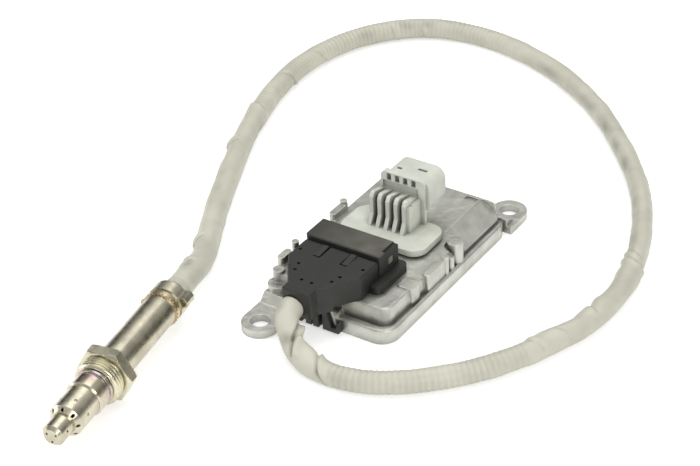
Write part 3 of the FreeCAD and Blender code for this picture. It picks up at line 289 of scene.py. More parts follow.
class Finish(Nodes):
    """One material, with short calls for its colour, gloss and surface."""

    def __init__(self, name, colour, roughness, metallic=0.0):
        self.material = bpy.data.materials.new(name)
        self.material.use_nodes = True
        super().__init__(self.material.node_tree)
        self.shader = self.nodes["Principled BSDF"]
        self.shader.inputs["Base Color"].default_value = (*colour, 1.0)
        self.shader.inputs["Roughness"].default_value = roughness
        self.shader.inputs["Metallic"].default_value = metallic
        self.place = self.node("ShaderNodeTexCoord").outputs["Object"]
        self.surface = None

    def noise(self, size, detail, place=None):
        """Noise whose lumps are about size metres across, from 0 to 1."""
        made = self.node("ShaderNodeTexNoise", Vector=place or self.place,
                         Scale=1.0 / size, Detail=detail)
        return made.outputs["Fac"]

    def stretched(self, direction, factor):
        """The place, squeezed along one direction, so that noise runs in streaks."""
        made = self.nodes.new("ShaderNodeMapping")
        made.vector_type = "TEXTURE"
        self.feed(made.inputs["Vector"], self.place)
        made.inputs["Rotation"].default_value = direction.to_track_quat("X", "Z").to_euler()
        made.inputs["Scale"].default_value = (factor, 1.0, 1.0)
        return made.outputs["Vector"]

    def station(self):
        """Distance along the probe's axis from its tip, in metres."""
        moved = self.maths("ShaderNodeVectorMath", "SUBTRACT", self.place, TIP)
        along = self.maths("ShaderNodeVectorMath", "DOT_PRODUCT", moved.outputs["Vector"], ALONG)
        return along.outputs["Value"]

    def colour(self, source):
        self.feed(self.shader.inputs["Base Color"], source)

    def gloss(self, source):
        self.feed(self.shader.inputs["Roughness"], source)

    def rounded(self, radius):
        """The surface's normal as it would be with rounded edges."""
        made = self.node("ShaderNodeBevel", Radius=radius)
        made.samples = EDGE_SAMPLES
        return made.outputs["Normal"]

    def soft_edges(self, radius):
        self.surface = self.rounded(radius)
        self.feed(self.shader.inputs["Normal"], self.surface)

    def hollow_shaded(self, colour, dark):
        """A colour with painted shade: it falls to the share dark of itself in slots and
        corners.
        """
        # Painted shade: an ambient occlusion node darkens the colour where surfaces close in
        hollow = self.node("ShaderNodeAmbientOcclusion", Distance=PAINTED_SHADE_REACH)
        hollow.samples = PAINTED_SHADE_SAMPLES
        shade = self.spread(hollow.outputs["AO"], low=dark, high=1.0, start=0.15, end=0.85)
        return self.blend(1.0, colour, shade, "MULTIPLY")

    def edge_highlight(self, colour, pale, radius, amount):
        """A colour with a painted highlight: paler along the edges."""
        flat = self.node("ShaderNodeNewGeometry").outputs["Normal"]
        turned = self.maths("ShaderNodeVectorMath", "DOT_PRODUCT", self.rounded(radius), flat)
        edge = self.spread(turned.outputs["Value"], low=amount, high=0.0, start=0.80, end=0.98)
        return self.blend(edge, colour, pale)

    def bump(self, source, depth, strength):
        made = self.node("ShaderNodeBump", Strength=strength, Distance=depth, Height=source)
        if self.surface:
            self.feed(made.inputs["Normal"], self.surface)
        self.surface = made.outputs["Normal"]
        self.feed(self.shader.inputs["Normal"], self.surface)


def shaded(colour, factor):
    """A colour made darker or lighter."""
    return tuple(min(1.0, part * factor) for part in colour)


def cast_metal(name, colour, grain, edge):
    """Die-cast aluminium: pale, with a fine skin, faint stains, painted highlights along its
    edges and painted shade in its hollows.
    """
    finish = Finish(name, colour, roughness=0.38, metallic=0.80)
    skin = finish.ramp(finish.noise(0.010, detail=5.0), [
        (0.30, shaded(colour, 0.80)), (0.52, colour), (0.75, shaded(colour, 1.18))])
    # Painted highlight: a much paler colour along every edge
    skin = finish.edge_highlight(skin, shaded(colour, 1.75), radius=edge * 1.6, amount=0.85)
    # Painted shade in the case's hollows
    finish.colour(finish.hollow_shaded(skin, dark=0.45))
    finish.gloss(finish.spread(finish.noise(0.004, detail=3.0), low=0.28, high=0.46))
    finish.soft_edges(edge * 2.0)
    finish.bump(finish.noise(0.005, detail=2.0), depth=0.0004, strength=0.9)
    finish.bump(finish.noise(grain, detail=3.0), depth=0.00009, strength=0.8)
    return finish.material


def rolled_sheet(name, colour):
    """Rolled aluminium with fine streaks along the case."""
    finish = Finish(name, colour, roughness=0.35, metallic=1.0)
    along_case = finish.stretched(Vector((0, 1, 0)), 30.0)
    streaks = finish.noise(0.0006, detail=2.0, place=along_case)
    finish.gloss(finish.spread(streaks, low=0.28, high=0.46))
    finish.bump(streaks, depth=0.00002, strength=0.4)
    return finish.material


def moulded(name, colour, grain, edge, roughness):
    """Glass-filled plastic: a fine grain, uneven gloss, faint patches and painted shade in its
    slots and corners.
    """
    finish = Finish(name, colour, roughness)
    skin = finish.ramp(finish.noise(0.009, detail=4.0), [
        (0.30, shaded(colour, 0.90)), (0.55, colour), (0.78, shaded(colour, 1.10))])
    # Painted shade in slots, pockets and grooves
    finish.colour(finish.hollow_shaded(skin, dark=0.30))
    finish.gloss(finish.spread(finish.noise(0.005, detail=3.0),
                               low=roughness - 0.08, high=roughness + 0.12))
    finish.soft_edges(edge)
    finish.bump(finish.noise(grain, detail=3.0), depth=0.000035, strength=0.6)
    return finish.material


def turned_steel(name, colour, roughness, stain=0.0):
    """Bright turned steel with fine rings around the probe's axis and faint clouds."""
    finish = Finish(name, colour, roughness, metallic=1.0)
    rings = finish.noise(0.00035, detail=2.0, place=finish.stretched(ALONG, 0.06))
    finish.colour(finish.ramp(finish.noise(0.007, detail=4.0), [
        (0.32, shaded(colour, 0.78 - stain)), (0.56, colour), (0.8, shaded(colour, 1.12))]))
    finish.gloss(finish.spread(finish.noise(0.003, detail=3.0),
                               low=roughness - 0.05, high=roughness + 0.10))
    finish.soft_edges(0.00025)
    finish.bump(rings, depth=0.000012, strength=0.35)
    return finish


def plain_grain(name, colour, roughness, grain=0.0005, depth=0.00003, metallic=0.0):
    """A plain material with faint patches and a fine grain."""
    finish = Finish(name, colour, roughness, metallic)
    finish.colour(finish.ramp(finish.noise(grain * 12, detail=3.0), [
        (0.3, shaded(colour, 0.82)), (0.7, shaded(colour, 1.1))]))
    finish.bump(finish.noise(grain, detail=2.0), depth, strength=0.6)
    return finish.material


def sleeve_finish(name, colour):
    """The soft sleeve: smooth and slightly waxy, with painted shade in its creases, rib grooves
    and dents, and a little dusty.
    """
    finish = Finish(name, colour, roughness=0.42)
    plain = finish.ramp(finish.noise(0.02, detail=4.0), [
        (0.30, shaded(colour, 0.90)), (0.52, colour), (0.75, shaded(colour, 1.08))])
    # Painted shade: the colour darkens where the sleeve is pressed in
    crease = finish.node("ShaderNodeAttribute")
    crease.attribute_name = "crease"
    depth = finish.spread(crease.outputs["Fac"], low=0.0, high=0.85, start=0.0, end=1.0)
    finish.colour(finish.blend(depth, plain, shaded(colour, 0.52)))
    finish.gloss(finish.spread(finish.noise(0.006, detail=3.0), low=0.34, high=0.52))
    finish.bump(finish.noise(0.0035, detail=3.0), depth=0.00012, strength=0.5)
    finish.bump(finish.noise(0.0004, detail=2.0), depth=0.00002, strength=0.4)
    return finish.material


def dress(node, material):
    """Give a carried-over CAD node its finish."""
    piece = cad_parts[node]
    for place in piece.material_slots:
        place.material = material


def new_piece(name, points, faces, material, body, sharp=35.0):
    """A mesh piece in the row frame that rides on one body."""
    mesh = bpy.data.meshes.new(name)
    mesh.from_pydata([tuple(point) for point in points], [], faces)
    mesh.validate()
    mesh.polygons.foreach_set("use_smooth", [True] * len(mesh.polygons))
    mesh.set_sharp_from_angle(angle=math.radians(sharp))
    mesh.materials.append(material)
    piece = bpy.data.objects.new(name, mesh)
    bpy.context.scene.collection.objects.link(piece)
    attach(piece, body)
    return piece


def loop_faces(rows, sides, closed):
    """Quads between rings of points; closed joins the last ring to the first."""
    faces = []
    for row in range(rows if closed else rows - 1):
        start, after = row * sides, (row + 1) % rows * sides
        for side in range(sides):
            turn = (side + 1) % sides
            faces.append((start + side, start + turn, after + turn, after + side))
    return faces


def on_probe(station, radius, angle):
    """A point at a station along the probe, a radius from its axis and an angle around it."""
    beside = ACROSS * (radius * math.cos(angle))
    return TIP + ALONG * station + beside + UP * (radius * math.sin(angle))


class SENSOR_OT_stage(bpy.types.Operator):
    """Make the pale floor, the soft lamps, the world and the camera"""
    bl_idname = "exhaust_sensor.stage"
    bl_label = "Stage"

    def execute(self, context):
        settings = context.scene.sensor_stage
        self.floor(settings)
        self.world(context.scene, settings)
        self.lamps(settings)
        self.camera(context.scene, settings)
        context.scene.view_settings.view_transform = "Standard"
        return {"FINISHED"}

    def floor(self, settings):
        """A pale floor that the camera and reflections see as white."""
        half = FLOOR_HALF
        corners = [(-half, -half, 0), (half, -half, 0), (half, half, 0), (-half, half, 0)]
        mesh = bpy.data.meshes.new("floor")
        mesh.from_pydata(corners, [], [(0, 1, 2, 3)])
        floor = bpy.data.objects.new("floor", mesh)
        floor.location.z = -FLOOR_DROP
        bpy.context.scene.collection.objects.link(floor)
        finish = Finish("floor paper", settings.floor_colour, roughness=0.9)
        path = finish.node("ShaderNodeLightPath").outputs
        seen = finish.maths("ShaderNodeMath", "MAXIMUM",
                            path["Is Camera Ray"], path["Is Glossy Ray"])
        lift = finish.maths("ShaderNodeMath", "MULTIPLY", seen.outputs[0], settings.floor_lift)
        finish.shader.inputs["Emission Color"].default_value = (1, 1, 1, 1)
        finish.feed(finish.shader.inputs["Emission Strength"], lift.outputs[0])
        mesh.materials.append(finish.material)

    def world(self, scene, settings):
        """A pale sky, darker low down and on the left, so that bright metal shows streaks."""
        world = bpy.data.worlds.new("studio")
        world.use_nodes = True
        tree = Nodes(world.node_tree)
        place = tree.node("ShaderNodeTexCoord").outputs["Generated"]
        split = tree.node("ShaderNodeSeparateXYZ", Vector=place).outputs
        bands = tree.ramp(split["Z"], [
            (position, (level, level, level * SKY_BLUE)) for position, level in SKY_BANDS])
        side = tree.spread(split["X"], SKY_LEFT_LEVEL, 1.0, *SKY_LEFT)
        dimmed = tree.node("ShaderNodeVectorMath")
        dimmed.operation = "SCALE"
        tree.feed(dimmed.inputs[0], bands)
        tree.feed(dimmed.inputs["Scale"], side)
        sky = tree.nodes["Background"]
        tree.feed(sky.inputs["Color"], dimmed.outputs["Vector"])
        tree.feed(sky.inputs["Strength"], settings.world_level)
        white = tree.node("ShaderNodeBackground", Strength=1.0)
        mix = tree.node("ShaderNodeMixShader")
        path = tree.node("ShaderNodeLightPath").outputs
        for socket, source in zip(mix.inputs,
                                  (path["Is Camera Ray"], sky.outputs[0], white.outputs[0])):
            tree.feed(socket, source)
        tree.feed(tree.nodes["World Output"].inputs["Surface"], mix.outputs[0])
        scene.world = world

    def lamps(self, settings):
        """Large soft lamps that face the object."""
        for name, place, target, wide, long, power, share in LAMPS:
            data = bpy.data.lights.new(name, "AREA")
            data.shape = "RECTANGLE"
            data.size, data.size_y = wide, long
            data.energy = getattr(settings, power) * share
            lamp = bpy.data.objects.new(name, data)
            lamp.location = place
            aim = Vector(target) - Vector(place)
            lamp.rotation_euler = aim.to_track_quat("-Z", "Y").to_euler()
            bpy.context.scene.collection.objects.link(lamp)

    def camera(self, scene, settings):
        """The camera at the photograph's azimuth, elevation and roll."""
        level = math.cos(CAMERA_ELEVATION)
        back = Vector((math.sin(CAMERA_AZIMUTH) * level, -math.cos(CAMERA_AZIMUTH) * level,
                       math.sin(CAMERA_ELEVATION)))
        right = Vector((math.cos(CAMERA_AZIMUTH), math.sin(CAMERA_AZIMUTH), 0.0))
        above = back.cross(right)
        rolled_right = right * math.cos(CAMERA_ROLL) + above * math.sin(CAMERA_ROLL)
        rolled_above = above * math.cos(CAMERA_ROLL) - right * math.sin(CAMERA_ROLL)
        data = bpy.data.cameras.new("camera")
        data.lens = settings.lens
        data.sensor_width = CAMERA_SENSOR
        data.clip_start, data.clip_end = CAMERA_CLIP
        camera = bpy.data.objects.new("camera", data)
        matrix = Matrix((rolled_right, rolled_above, back)).transposed().to_4x4()
        matrix.translation = CAMERA_PLACE
        camera.matrix_world = matrix
        scene.collection.objects.link(camera)
        scene.camera = camera


class SENSOR_OT_case(bpy.types.Operator):
    """Finish the cast case, its cover and its seal"""
    bl_idname = "exhaust_sensor.case"
    bl_label = "Case"

    def execute(self, context):
        settings = context.scene.sensor_metal
        cast = cast_metal("cast case", settings.cast_colour, settings.cast_grain,
                          settings.edge_radius)
        dress("case", cast)
        dress("bottom_cover", rolled_sheet("rolled cover", COVER_SHEET))
        dress("cover_seal", plain_grain("cover seal rubber", COVER_SEAL, 0.7))
        return {"FINISHED"}


class SENSOR_OT_electronics(bpy.types.Operator):
    """Finish the circuit board, its parts and the pins"""
    bl_idname = "exhaust_sensor.electronics"
    bl_label = "Electronics"

    def execute(self, context):
        dress("circuit_board", plain_grain("board lacquer", BOARD, 0.35, grain=0.0012))
        dress("board_parts", plain_grain("chip resin", CHIPS, 0.5))
        tin = plain_grain("tinned pins", TIN, 0.28, grain=0.0008, depth=0.00001, metallic=1.0)
        for node in ("socket_pins", "header_pins", "contact_clips"):
            dress(node, tin)
        return {"FINISHED"}


class SENSOR_OT_socket(bpy.types.Operator):
    """Finish the vehicle socket and its gasket"""
    bl_idname = "exhaust_sensor.socket"
    bl_label = "Vehicle socket"

    def execute(self, context):
        settings = context.scene.sensor_plastic
        grey = moulded("socket plastic", settings.socket_colour, settings.plastic_grain,
                       edge=0.0005, roughness=0.46)
        dress("vehicle_socket", grey)
        dress("socket_gasket", plain_grain("gasket rubber", GASKET, 0.65))
        return {"FINISHED"}


class SENSOR_OT_plug(bpy.types.Operator):
    """Finish the cable header, the plug and the lock bar, and fit the insert in the bar's end"""
    bl_idname = "exhaust_sensor.plug"
    bl_label = "Plug and lock bar"

    # The insert's front, back, bottom and top, its bevel, and its places against the bar's end
    insert_front, insert_back, insert_low, insert_top = -0.0208, -0.0172, 0.0196, 0.0230
    insert_bevel = 0.0003
    insert_deep, insert_sunk = 0.0007, 0.00015
    # The bar's wear and painted sheen: depth below its top where it starts and ends, and how far
    # it stops short
    wear_start, wear_end, wear_short = 0.0008, 0.0001, 0.008

    def execute(self, context):
        settings = context.scene.sensor_plastic
        black = moulded("plug plastic", settings.black_colour, settings.plastic_grain,
                        edge=0.0004, roughness=0.44)
        dress("cable_plug", black)
        dress("cable_header", black)
        dress("lock_bar", self.bar_plastic(settings))
        self.bar_insert()
        return {"FINISHED"}

    def bar_insert(self):
        """A small grey tab that stands in the slot in the bar's right end."""
        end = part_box("lock_bar")[1].x
        bevel = self.insert_bevel
        front, back = self.insert_front, self.insert_back
        low, top = self.insert_low, self.insert_top
        rings = ((0.0, end - self.insert_deep), (0.0, end - self.insert_sunk - bevel),
                 (bevel, end - self.insert_sunk))
        points = []
        for inset, x in rings:
            points += [(x, front + inset, low + inset), (x, back - inset, low + inset),
                       (x, back - inset, top - inset), (x, front + inset, top - inset)]
        faces = loop_faces(3, 4, False) + [(3, 2, 1, 0), (8, 9, 10, 11)]
        new_piece("bar_insert", points, faces, plain_grain("insert plastic", INSERT, 0.5),
                  "sensor")

    def bar_plastic(self, settings):
        """Black plastic whose top turns a brownish grey toward its right end: partly wear,
        partly painted sheen.
        """
        low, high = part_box("lock_bar")
        finish = Finish("bar plastic", settings.black_colour, roughness=0.46)
        split = finish.node("ShaderNodeSeparateXYZ", Vector=finish.place).outputs
        worn = finish.spread(split["Z"], 0.0, 1.0, high.z - self.wear_start,
                             high.z - self.wear_end)
        along = finish.spread(split["X"], 0.25, 1.0, low.x, high.x - self.wear_short)
        amount = finish.maths("ShaderNodeMath", "MULTIPLY", worn, along)
        patches = finish.ramp(finish.noise(0.006, detail=4.0), [
            (0.3, shaded(settings.bar_wear_and_sheen_colour, 0.75)), (0.7, shaded(settings.bar_wear_and_sheen_colour, 1.25))])
        # Wear and painted sheen on the bar's top
        finish.colour(finish.blend(amount.outputs[0], tuple(settings.black_colour), patches))
        finish.gloss(finish.spread(finish.noise(0.003, detail=3.0), low=0.40, high=0.58))
        finish.soft_edges(0.0005)
        grain = finish.noise(settings.plastic_grain, detail=3.0)
        finish.bump(grain, depth=0.00004, strength=0.7)
        return finish.material


class SENSOR_OT_probe(bpy.types.Operator):
    """Finish the probe's shields, body, tube, ring, ferrule, clamp and grommet"""
    bl_idname = "exhaust_sensor.probe"
    bl_label = "Probe"

    def execute(self, context):
        settings = context.scene.sensor_metal
        steel = turned_steel("probe steel", settings.steel_colour, roughness=0.24).material
        for node in ("inner_shield", "outer_shield"):
            dress(node, steel)
        tube = turned_steel("tube steel", shaded(settings.steel_colour, 0.90),
                            roughness=0.28).material
        dress("rear_tube", tube)
        dress("sensor_body", self.heated_steel(settings))
        satin = turned_steel("satin steel", shaded(settings.steel_colour, 0.95),
                             roughness=0.30, stain=0.05).material
        dress("end_ferrule", satin)
        dress("ear_clamp", satin)
        ring = turned_steel("ring metal", settings.brass_colour, roughness=0.26,
                            stain=0.1).material
        dress("crimp_ring", ring)
        dress("cable_grommet", plain_grain("grommet rubber", GROMMET, 0.55))
        dress("wire_seal", plain_grain("seal rubber", WIRE_SEAL, 0.6))
        fired = plain_grain("fired ceramic", CERAMIC, 0.4, grain=0.0007, depth=0.00002)
        for node in ("sensing_strip", "front_ceramic", "rear_ceramic", "contact_holder"):
            dress(node, fired)
        dress("powder_seal", plain_grain("pressed powder", POWDER, 0.8))
        dress("lead_wires", plain_grain("wire jacket", WIRE_JACKET, 0.5))
        return {"FINISHED"}

    def heated_steel(self, settings):
        """Turned steel with patches of the tints that heat leaves on the shoulder."""
        finish = turned_steel("heated steel", settings.steel_colour, roughness=0.2)
        plain = finish.shader.inputs["Base Color"].links[0].from_socket
        tints = finish.ramp(finish.spread(finish.station(), 0.0, 1.0, *HEATED), HEAT_TINTS)
        patchy = finish.spread(finish.noise(0.0045, detail=1.0), low=0.15, high=1.0,
                               start=0.38, end=0.62)
        finish.colour(finish.blend(patchy, plain, tints))
        return finish.material


class SENSOR_OT_nut(bpy.types.Operator):
    """Build the threaded gland nut"""
    bl_idname = "exhaust_sensor.nut"
    bl_label = "Gland nut"

    # Stations along the probe, radii, and the groove between the thread and the hexagon
    start, shank_end, end = 0.0333, 0.0398, 0.0450
    bore, flats, crest = 0.00758, 0.011, 0.010
    undercut = 0.0006
    # The thread's flat root and its flank as shares of half a pitch, and the slopes of its ends
    root_share, flank_share = 0.12, 0.72
    lead_slope, runout_slope = 0.9, 2.0
    # How far the front face ends below the root, and the distance between rings of points
    front_lip, thread_step = 0.0001, 0.0001
    # The hexagon's two chamfers: where each starts against the flats, and its slope
    front_under, front_slope = 0.0002, 2.2
    rear_over, rear_slope = 0.0008, 2.6
    # The rings of points that follow each chamfer
    front_step, front_rings = 0.00012, 12
    rear_step, rear_rings = 0.0001, 10

    def execute(self, context):
        settings = context.scene.sensor_nut
        rows = self.thread_rows(settings) + self.hexagon_rows()
        rows.append((self.end, self.plain(self.bore)))
        points = []
        for station, radius in rows:
            for side in range(settings.segments):
                angle = 2 * math.pi * side / settings.segments
                points.append(on_probe(station, radius(angle), angle))
        finish = turned_steel("nut steel", context.scene.sensor_metal.nut_colour,
                              roughness=0.26)
        nut = new_piece("threaded_nut", points, loop_faces(len(rows), settings.segments, True),
                        finish.material, "nut", sharp=28.0)
        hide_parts("gland_nut")
        return {"FINISHED"}

    @staticmethod
    def plain(radius):
        return lambda angle: radius

    def thread_rows(self, settings):
        """The bore's front edge, a lead-in cone, the thread's turns and the undercut."""
        root = self.crest - settings.thread_depth

        def thread(station):
            def radius(angle):
                phase = (station / settings.thread_pitch + angle / (2 * math.pi)) % 1.0
                flank = abs(phase - 0.5) * 2
                height = min(1.0, max(0.0, (flank - self.root_share) / self.flank_share))
                lead = root + (station - self.start) * self.lead_slope
                left = max(0.0, self.shank_end - self.undercut - station)
                runout = root + left * self.runout_slope
                return min(root + settings.thread_depth * height, lead, max(runout, root))
            return radius

        rows = [(self.start, self.plain(self.bore)),
                (self.start, self.plain(root - self.front_lip))]
        count = int((self.shank_end - self.start) / self.thread_step)
        for step in range(1, count):
            station = self.start + step * self.thread_step
            rows.append((station, thread(station)))
        rows.append((self.shank_end, self.plain(root)))
        return rows

    def hexagon_rows(self):
        """Six flats, cut by a cone at the front and by another at the back."""
        sixth = math.pi / 6

        def section(station):
            def radius(angle):
                turn = (angle + sixth) % (math.pi / 3) - sixth
                flat = self.flats / math.cos(sixth - abs(turn))
                front = (self.flats - self.front_under
                         + (station - self.shank_end) * self.front_slope)
                rear = self.flats + self.rear_over + (self.end - station) * self.rear_slope
                return min(flat, front, rear)
            return radius

        stations = [self.shank_end + ring * self.front_step for ring in range(self.front_rings)]
        stations += [self.end - ring * self.rear_step
                     for ring in reversed(range(self.rear_rings))]
        return [(station, section(station)) for station in stations]


class SENSOR_OT_cable(bpy.types.Operator):
    """Build the sleeved cable along its route, with ribs, dents and folds"""
    bl_idname = "exhaust_sensor.cable"
    bl_label = "Cable"

    # Distance between the sleeve's rings of points, and points on the curve per route point
    step = 0.00042
    route_detail = 24
    # Rings between two places that are noted for the cord
    cord_stride = 4
    # Stretches where the conduit's ribs show: from, to and how strongly
    ribbed = [(0.034, 0.132, 1.0), (0.405, 0.600, 0.8)]
    rib_fade = 0.012
    rib_sharpness = 1.5
    # The ribs come and go: their middle level, its change, and the change's size per metre
    rib_level, rib_change, rib_scale = 0.75, 0.6, 60.0
    # Uneven sleeve: dents and wrinkles per metre, the wrinkles' share, and what ribs calm
    dent_scale, dent_calmed = 95.0, 0.4
    wrinkle_scale, wrinkle_share, wrinkle_calmed = 240.0, 0.5, 0.5
    # The sleeve is plain and round over this length at each end
    end_length = 0.004
    # Soft dents and bulges: station, angle, length along, width around, height
    folds = [
        (0.0262, 2.45, 0.0052, 0.75, 0.0013), (0.0176, 2.35, 0.0016, 0.60, -0.0012),
        (0.0172, 0.90, 0.0030, 0.70, -0.0008),
        (0.1350, 2.40, 0.0060, 0.60, 0.0007), (0.1250, -0.60, 0.0050, 0.60, 0.0004),
        (0.1500, 2.60, 0.0030, 0.60, -0.0005), (0.1570, 2.60, 0.0035, 0.60, 0.0005),
        (0.1630, 2.60, 0.0025, 0.50, -0.0008), (0.1685, 2.60, 0.0040, 0.60, 0.0008),
        (0.1930, -0.30, 0.0060, 0.70, 0.0007), (0.1930, 2.90, 0.0050, 0.60, 0.0005),
        (0.2170, 2.55, 0.0055, 0.60, -0.0007), (0.2470, 2.60, 0.0110, 0.55, -0.0008),
        (0.2830, 2.60, 0.0065, 0.60, -0.0008), (0.3000, 2.65, 0.0055, 0.60, -0.0009),
        (0.3180, 2.70, 0.0060, 0.60, -0.0008), (0.3450, 2.80, 0.0130, 0.55, -0.0007),
        (0.3800, 2.90, 0.0110, 0.55, -0.0007),
        (0.4630, 2.30, 0.0045, 0.60, -0.0005), (0.4760, 2.30, 0.0045, 0.60, -0.0005),
        (0.4990, 2.60, 0.0050, 0.60, -0.0004), (0.5950, 0.40, 0.0060, 0.70, 0.0006),
        (0.6080, 3.40, 0.0060, 0.60, -0.0006), (0.6400, 0.40, 0.0050, 0.60, -0.0005),
        (0.6520, 3.50, 0.0070, 0.60, 0.0005), (0.7180, 0.40, 0.0050, 0.60, -0.0006),
        (0.7380, 0.30, 0.0040, 0.60, 0.0008), (0.7400, 1.20, 0.0025, 0.50, -0.0008),
    ]
    fold_margin = 0.02
    # Sharp pleats: from station and angle, to station and angle, height, steep side's sign
    pleats = [
        (0.0112, 3.10, 0.0182, 1.75, 0.0020, -1), (0.0182, 1.75, 0.0240, 0.70, 0.0015, -1),
        (0.0322, 2.60, 0.0380, 0.60, 0.0011, -1), (0.0380, 0.60, 0.0420, -0.40, 0.0006, -1),
        (0.1265, 2.30, 0.1305, 0.60, 0.0005, -1), (0.1380, 1.90, 0.1410, 0.90, 0.0004, 1),
        (0.1615, 2.70, 0.1590, 1.30, 0.0005, 1),
        (0.2035, 3.10, 0.1985, 0.90, 0.0009, 1), (0.1985, 0.90, 0.2000, -0.50, 0.0007, 1),
        (0.2095, 3.10, 0.2045, 1.30, 0.0006, 1), (0.4835, 1.90, 0.4810, 4.00, 0.0004, 1),
        (0.4660, 2.70, 0.4640, 4.10, 0.0003, 1), (0.5315, 2.00, 0.5250, 4.10, 0.0004, 1),
        (0.5590, 1.90, 0.5545, 4.10, 0.0006, 1), (0.5900, 0.10, 0.5960, 2.00, 0.0006, -1),
        (0.6290, 0.00, 0.6265, 1.30, 0.0011, 1), (0.7125, 0.00, 0.7095, 1.10, 0.0009, 1),
        (0.7330, 0.10, 0.7355, 1.40, 0.0007, 1),
    ]
    pleat_margin = 0.008
    # A pleat's section: widths of its soft and steep sides, then its crease; and its ends
    soft_side, steep_side = 0.0021, 0.0006
    crease_share, crease_place, crease_width = 0.7, 0.0014, 0.0008
    pleat_end = 0.25

    def execute(self, context):
        settings = context.scene.sensor_cable
        centres, stations = self.centreline()
        full = settings.diameter / 2
        points, crease_shades = [], []
        for index, (centre, station) in enumerate(zip(centres, stations)):
            before = centres[max(index - 1, 0)]
            after = centres[min(index + 1, len(centres) - 1)]
            ahead = (after - before).normalized()
            side = ahead.cross(UP).normalized()
            above = side.cross(ahead)
            radius = full * self.girth(station)
            centre = centre + Vector((0.0, 0.0, radius - full))
            folds = self.nearby(self.folds, station, self.fold_margin, 0)
            pleats = self.nearby(self.pleats, station, self.pleat_margin, 2)
            for turn in range(settings.sides):
                angle = 2 * math.pi * turn / settings.sides
                away = side * math.cos(angle) + above * math.sin(angle)
                reach = self.reach(settings, radius, station, angle, centre + away * radius,
                                   folds, pleats)
                point = centre + away * reach
                point.z = max(point.z, 0.0)
                points.append(point)
                # How far the sleeve is pressed in here, which sets its painted shade
                crease_shades.append(min(1.0, max(0.0, (radius - reach) / settings.crease_shade_depth)))
        rows = len(centres)
        faces = loop_faces(rows, settings.sides, False)
        faces.append(tuple(range(settings.sides - 1, -1, -1)))
        faces.append(tuple(range((rows - 1) * settings.sides, rows * settings.sides)))
        sleeve = new_piece("cable_sleeve", points, faces,
                           sleeve_finish("cable sleeve", settings.colour),
                           "sensor", sharp=60.0)
        # Kept on the mesh for the sleeve's painted shade
        attribute = sleeve.data.attributes.new("crease", "FLOAT", "POINT")
        attribute.data.foreach_set("value", crease_shades)
        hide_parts("sensor_cable")
        return {"FINISHED"}

    @staticmethod
    def girth(station):
        """The share of the full radius at one station."""
        for (start, low), (end, high) in zip(GIRTH, GIRTH[1:]):
            if station <= end:
                share = (station - start) / (end - start)
                return low + (high - low) * share
        return GIRTH[-1][1]

    def centreline(self):
        """Even points along the smooth curve of the route, and their distances from the plug."""
        curve = bpy.data.curves.new("cable route", "CURVE")
        curve.dimensions = "3D"
        spline = curve.splines.new("NURBS")
        spline.points.add(len(ROUTE) - 1)
        for point, place in zip(spline.points, ROUTE):
            point.co = (*place, 1.0)
        spline.order_u = 3
        spline.use_endpoint_u = True
        spline.resolution_u = self.route_detail
        holder = bpy.data.objects.new("cable route", curve)
        bpy.context.scene.collection.objects.link(holder)
        line = bpy.data.meshes.new_from_object(holder)
        places = [vertex.co.copy() for vertex in line.vertices]
        bpy.data.objects.remove(holder)
        bpy.data.meshes.remove(line)
        bpy.data.curves.remove(curve)
        return self.spaced(places)

    def spaced(self, places):
        """Points at an even step along a line of places, with their distances."""
        travelled = [0.0]
        for before, after in zip(places, places[1:]):
            travelled.append(travelled[-1] + (after - before).length)
        count = round(travelled[-1] / self.step)
        centres, stations, segment = [], [], 0
        for index in range(count + 1):
            station = travelled[-1] * index / count
            while segment < len(places) - 2 and travelled[segment + 1] < station:
                segment += 1
            span = travelled[segment + 1] - travelled[segment]
            share = (station - travelled[segment]) / span if span else 0.0
            centres.append(places[segment].lerp(places[segment + 1], share))
            stations.append(station)
        return centres, stations

    def window(self, station, start, end):
        """1 inside a ribbed stretch and 0 outside it, with soft ends."""
        rise = min(1.0, max(0.0, (station - start) / self.rib_fade))
        fall = min(1.0, max(0.0, (end - station) / self.rib_fade))
        return rise * rise * (3 - 2 * rise) * fall * fall * (3 - 2 * fall)

    @staticmethod
    def nearby(rows, station, margin, last):
        """The rows whose stretch, from value 0 to value last, comes near a station."""
        return [row for row in rows
                if min(row[0], row[last]) - margin < station < max(row[0], row[last]) + margin]

    def reach(self, settings, radius, station, angle, place, folds, pleats):
        """How far the sleeve stands from its centreline at one point."""
        ribs = sum(self.window(station, start, end) * strength
                   for start, end, strength in self.ribbed)
        wave = 0.5 + 0.5 * math.cos(2 * math.pi * station / settings.rib_pitch)
        crest = wave ** self.rib_sharpness
        patchy = self.rib_level + self.rib_change * noise.noise(place * self.rib_scale)
        dents = noise.noise(place * self.dent_scale)
        wrinkles = noise.noise(place * self.wrinkle_scale)
        reach = radius - settings.rib_height * ribs * patchy * (1 - crest)
        reach += settings.dent_height * dents * (1.0 - self.dent_calmed * ribs)
        reach += (settings.dent_height * self.wrinkle_share * wrinkles
                  * (1.0 - self.wrinkle_calmed * ribs))
        for where, around, length, width, height in folds:
            along = (station - where) / length
            beside = math.remainder(angle - around, 2 * math.pi) / width
            reach += height * math.exp(-along * along - beside * beside)
        for start, turn, end, turn_end, height, steep in pleats:
            around = math.remainder(angle - turn, 2 * math.pi)
            reach += self.pleat(radius, station - start, around, end - start, turn_end - turn,
                                height, steep)
        from_end = min(station, CABLE_LENGTH - station)
        return radius + (reach - radius) * min(1.0, max(0.0, from_end / self.end_length))

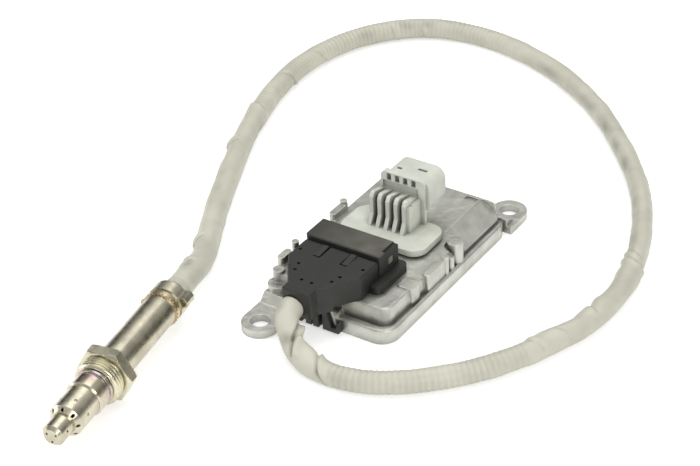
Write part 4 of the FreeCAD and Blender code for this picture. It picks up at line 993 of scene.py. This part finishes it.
    def pleat(self, radius, along, around, run, turn, height, steep):
        """A ridge with a soft side and a steep one, and a crease at the steep side's foot."""
        rise = radius * turn
        long = math.hypot(run, rise)
        share = (along * run + radius * around * rise) / (long * long)
        if not -self.pleat_end < share < 1 + self.pleat_end:
            return 0.0
        left = min(share + self.pleat_end, 1 + self.pleat_end - share)
        fade = min(1.0, left / self.pleat_end)
        across = (radius * around * run - along * rise) / long
        if rise > 0:
            across = -across
        across *= -steep
        if across > 0:
            shape = math.exp(-(across / self.soft_side) ** 2)
        else:
            ridge = math.exp(-(across / self.steep_side) ** 2)
            crease = math.exp(-((across + self.crease_place) / self.crease_width) ** 2)
            shape = ridge - self.crease_share * crease
        return height * shape * fade


class SENSOR_PT_panel(bpy.types.Panel):
    """The sensor's pieces in the order in which they are made"""
    bl_idname = "SENSOR_PT_panel"
    bl_label = "Sensor"
    bl_space_type = "VIEW_3D"
    bl_region_type = "UI"
    bl_category = "Sensor"

    def draw(self, context):
        for operator in OPERATORS:
            self.layout.operator(operator.bl_idname)
        for name in GROUPS:
            group = getattr(context.scene, name)
            box = self.layout.box()
            for setting in group.__annotations__:
                box.prop(group, setting)


OPERATORS = (
    SENSOR_OT_stage, SENSOR_OT_cable, SENSOR_OT_case, SENSOR_OT_electronics,
    SENSOR_OT_socket, SENSOR_OT_plug, SENSOR_OT_probe, SENSOR_OT_nut,
)
GROUPS = {
    "sensor_stage": StageSettings,
    "sensor_metal": MetalSettings,
    "sensor_plastic": PlasticSettings,
    "sensor_cable": CableSettings,
    "sensor_nut": NutSettings,
}


def register():
    for name, group in GROUPS.items():
        bpy.utils.register_class(group)
        setattr(bpy.types.Scene, name, PointerProperty(type=group))
    for operator in OPERATORS:
        bpy.utils.register_class(operator)
    bpy.utils.register_class(SENSOR_PT_panel)


def unregister():
    bpy.utils.unregister_class(SENSOR_PT_panel)
    for operator in reversed(OPERATORS):
        bpy.utils.unregister_class(operator)
    for name, group in GROUPS.items():
        delattr(bpy.types.Scene, name)
        bpy.utils.unregister_class(group)


def main():
    register()
    bpy.ops.exhaust_sensor.stage()
    bpy.ops.exhaust_sensor.cable()
    bpy.ops.exhaust_sensor.case()
    bpy.ops.exhaust_sensor.electronics()
    bpy.ops.exhaust_sensor.socket()
    bpy.ops.exhaust_sensor.plug()
    bpy.ops.exhaust_sensor.probe()
    bpy.ops.exhaust_sensor.nut()


if __name__ == "__main__":
    main()
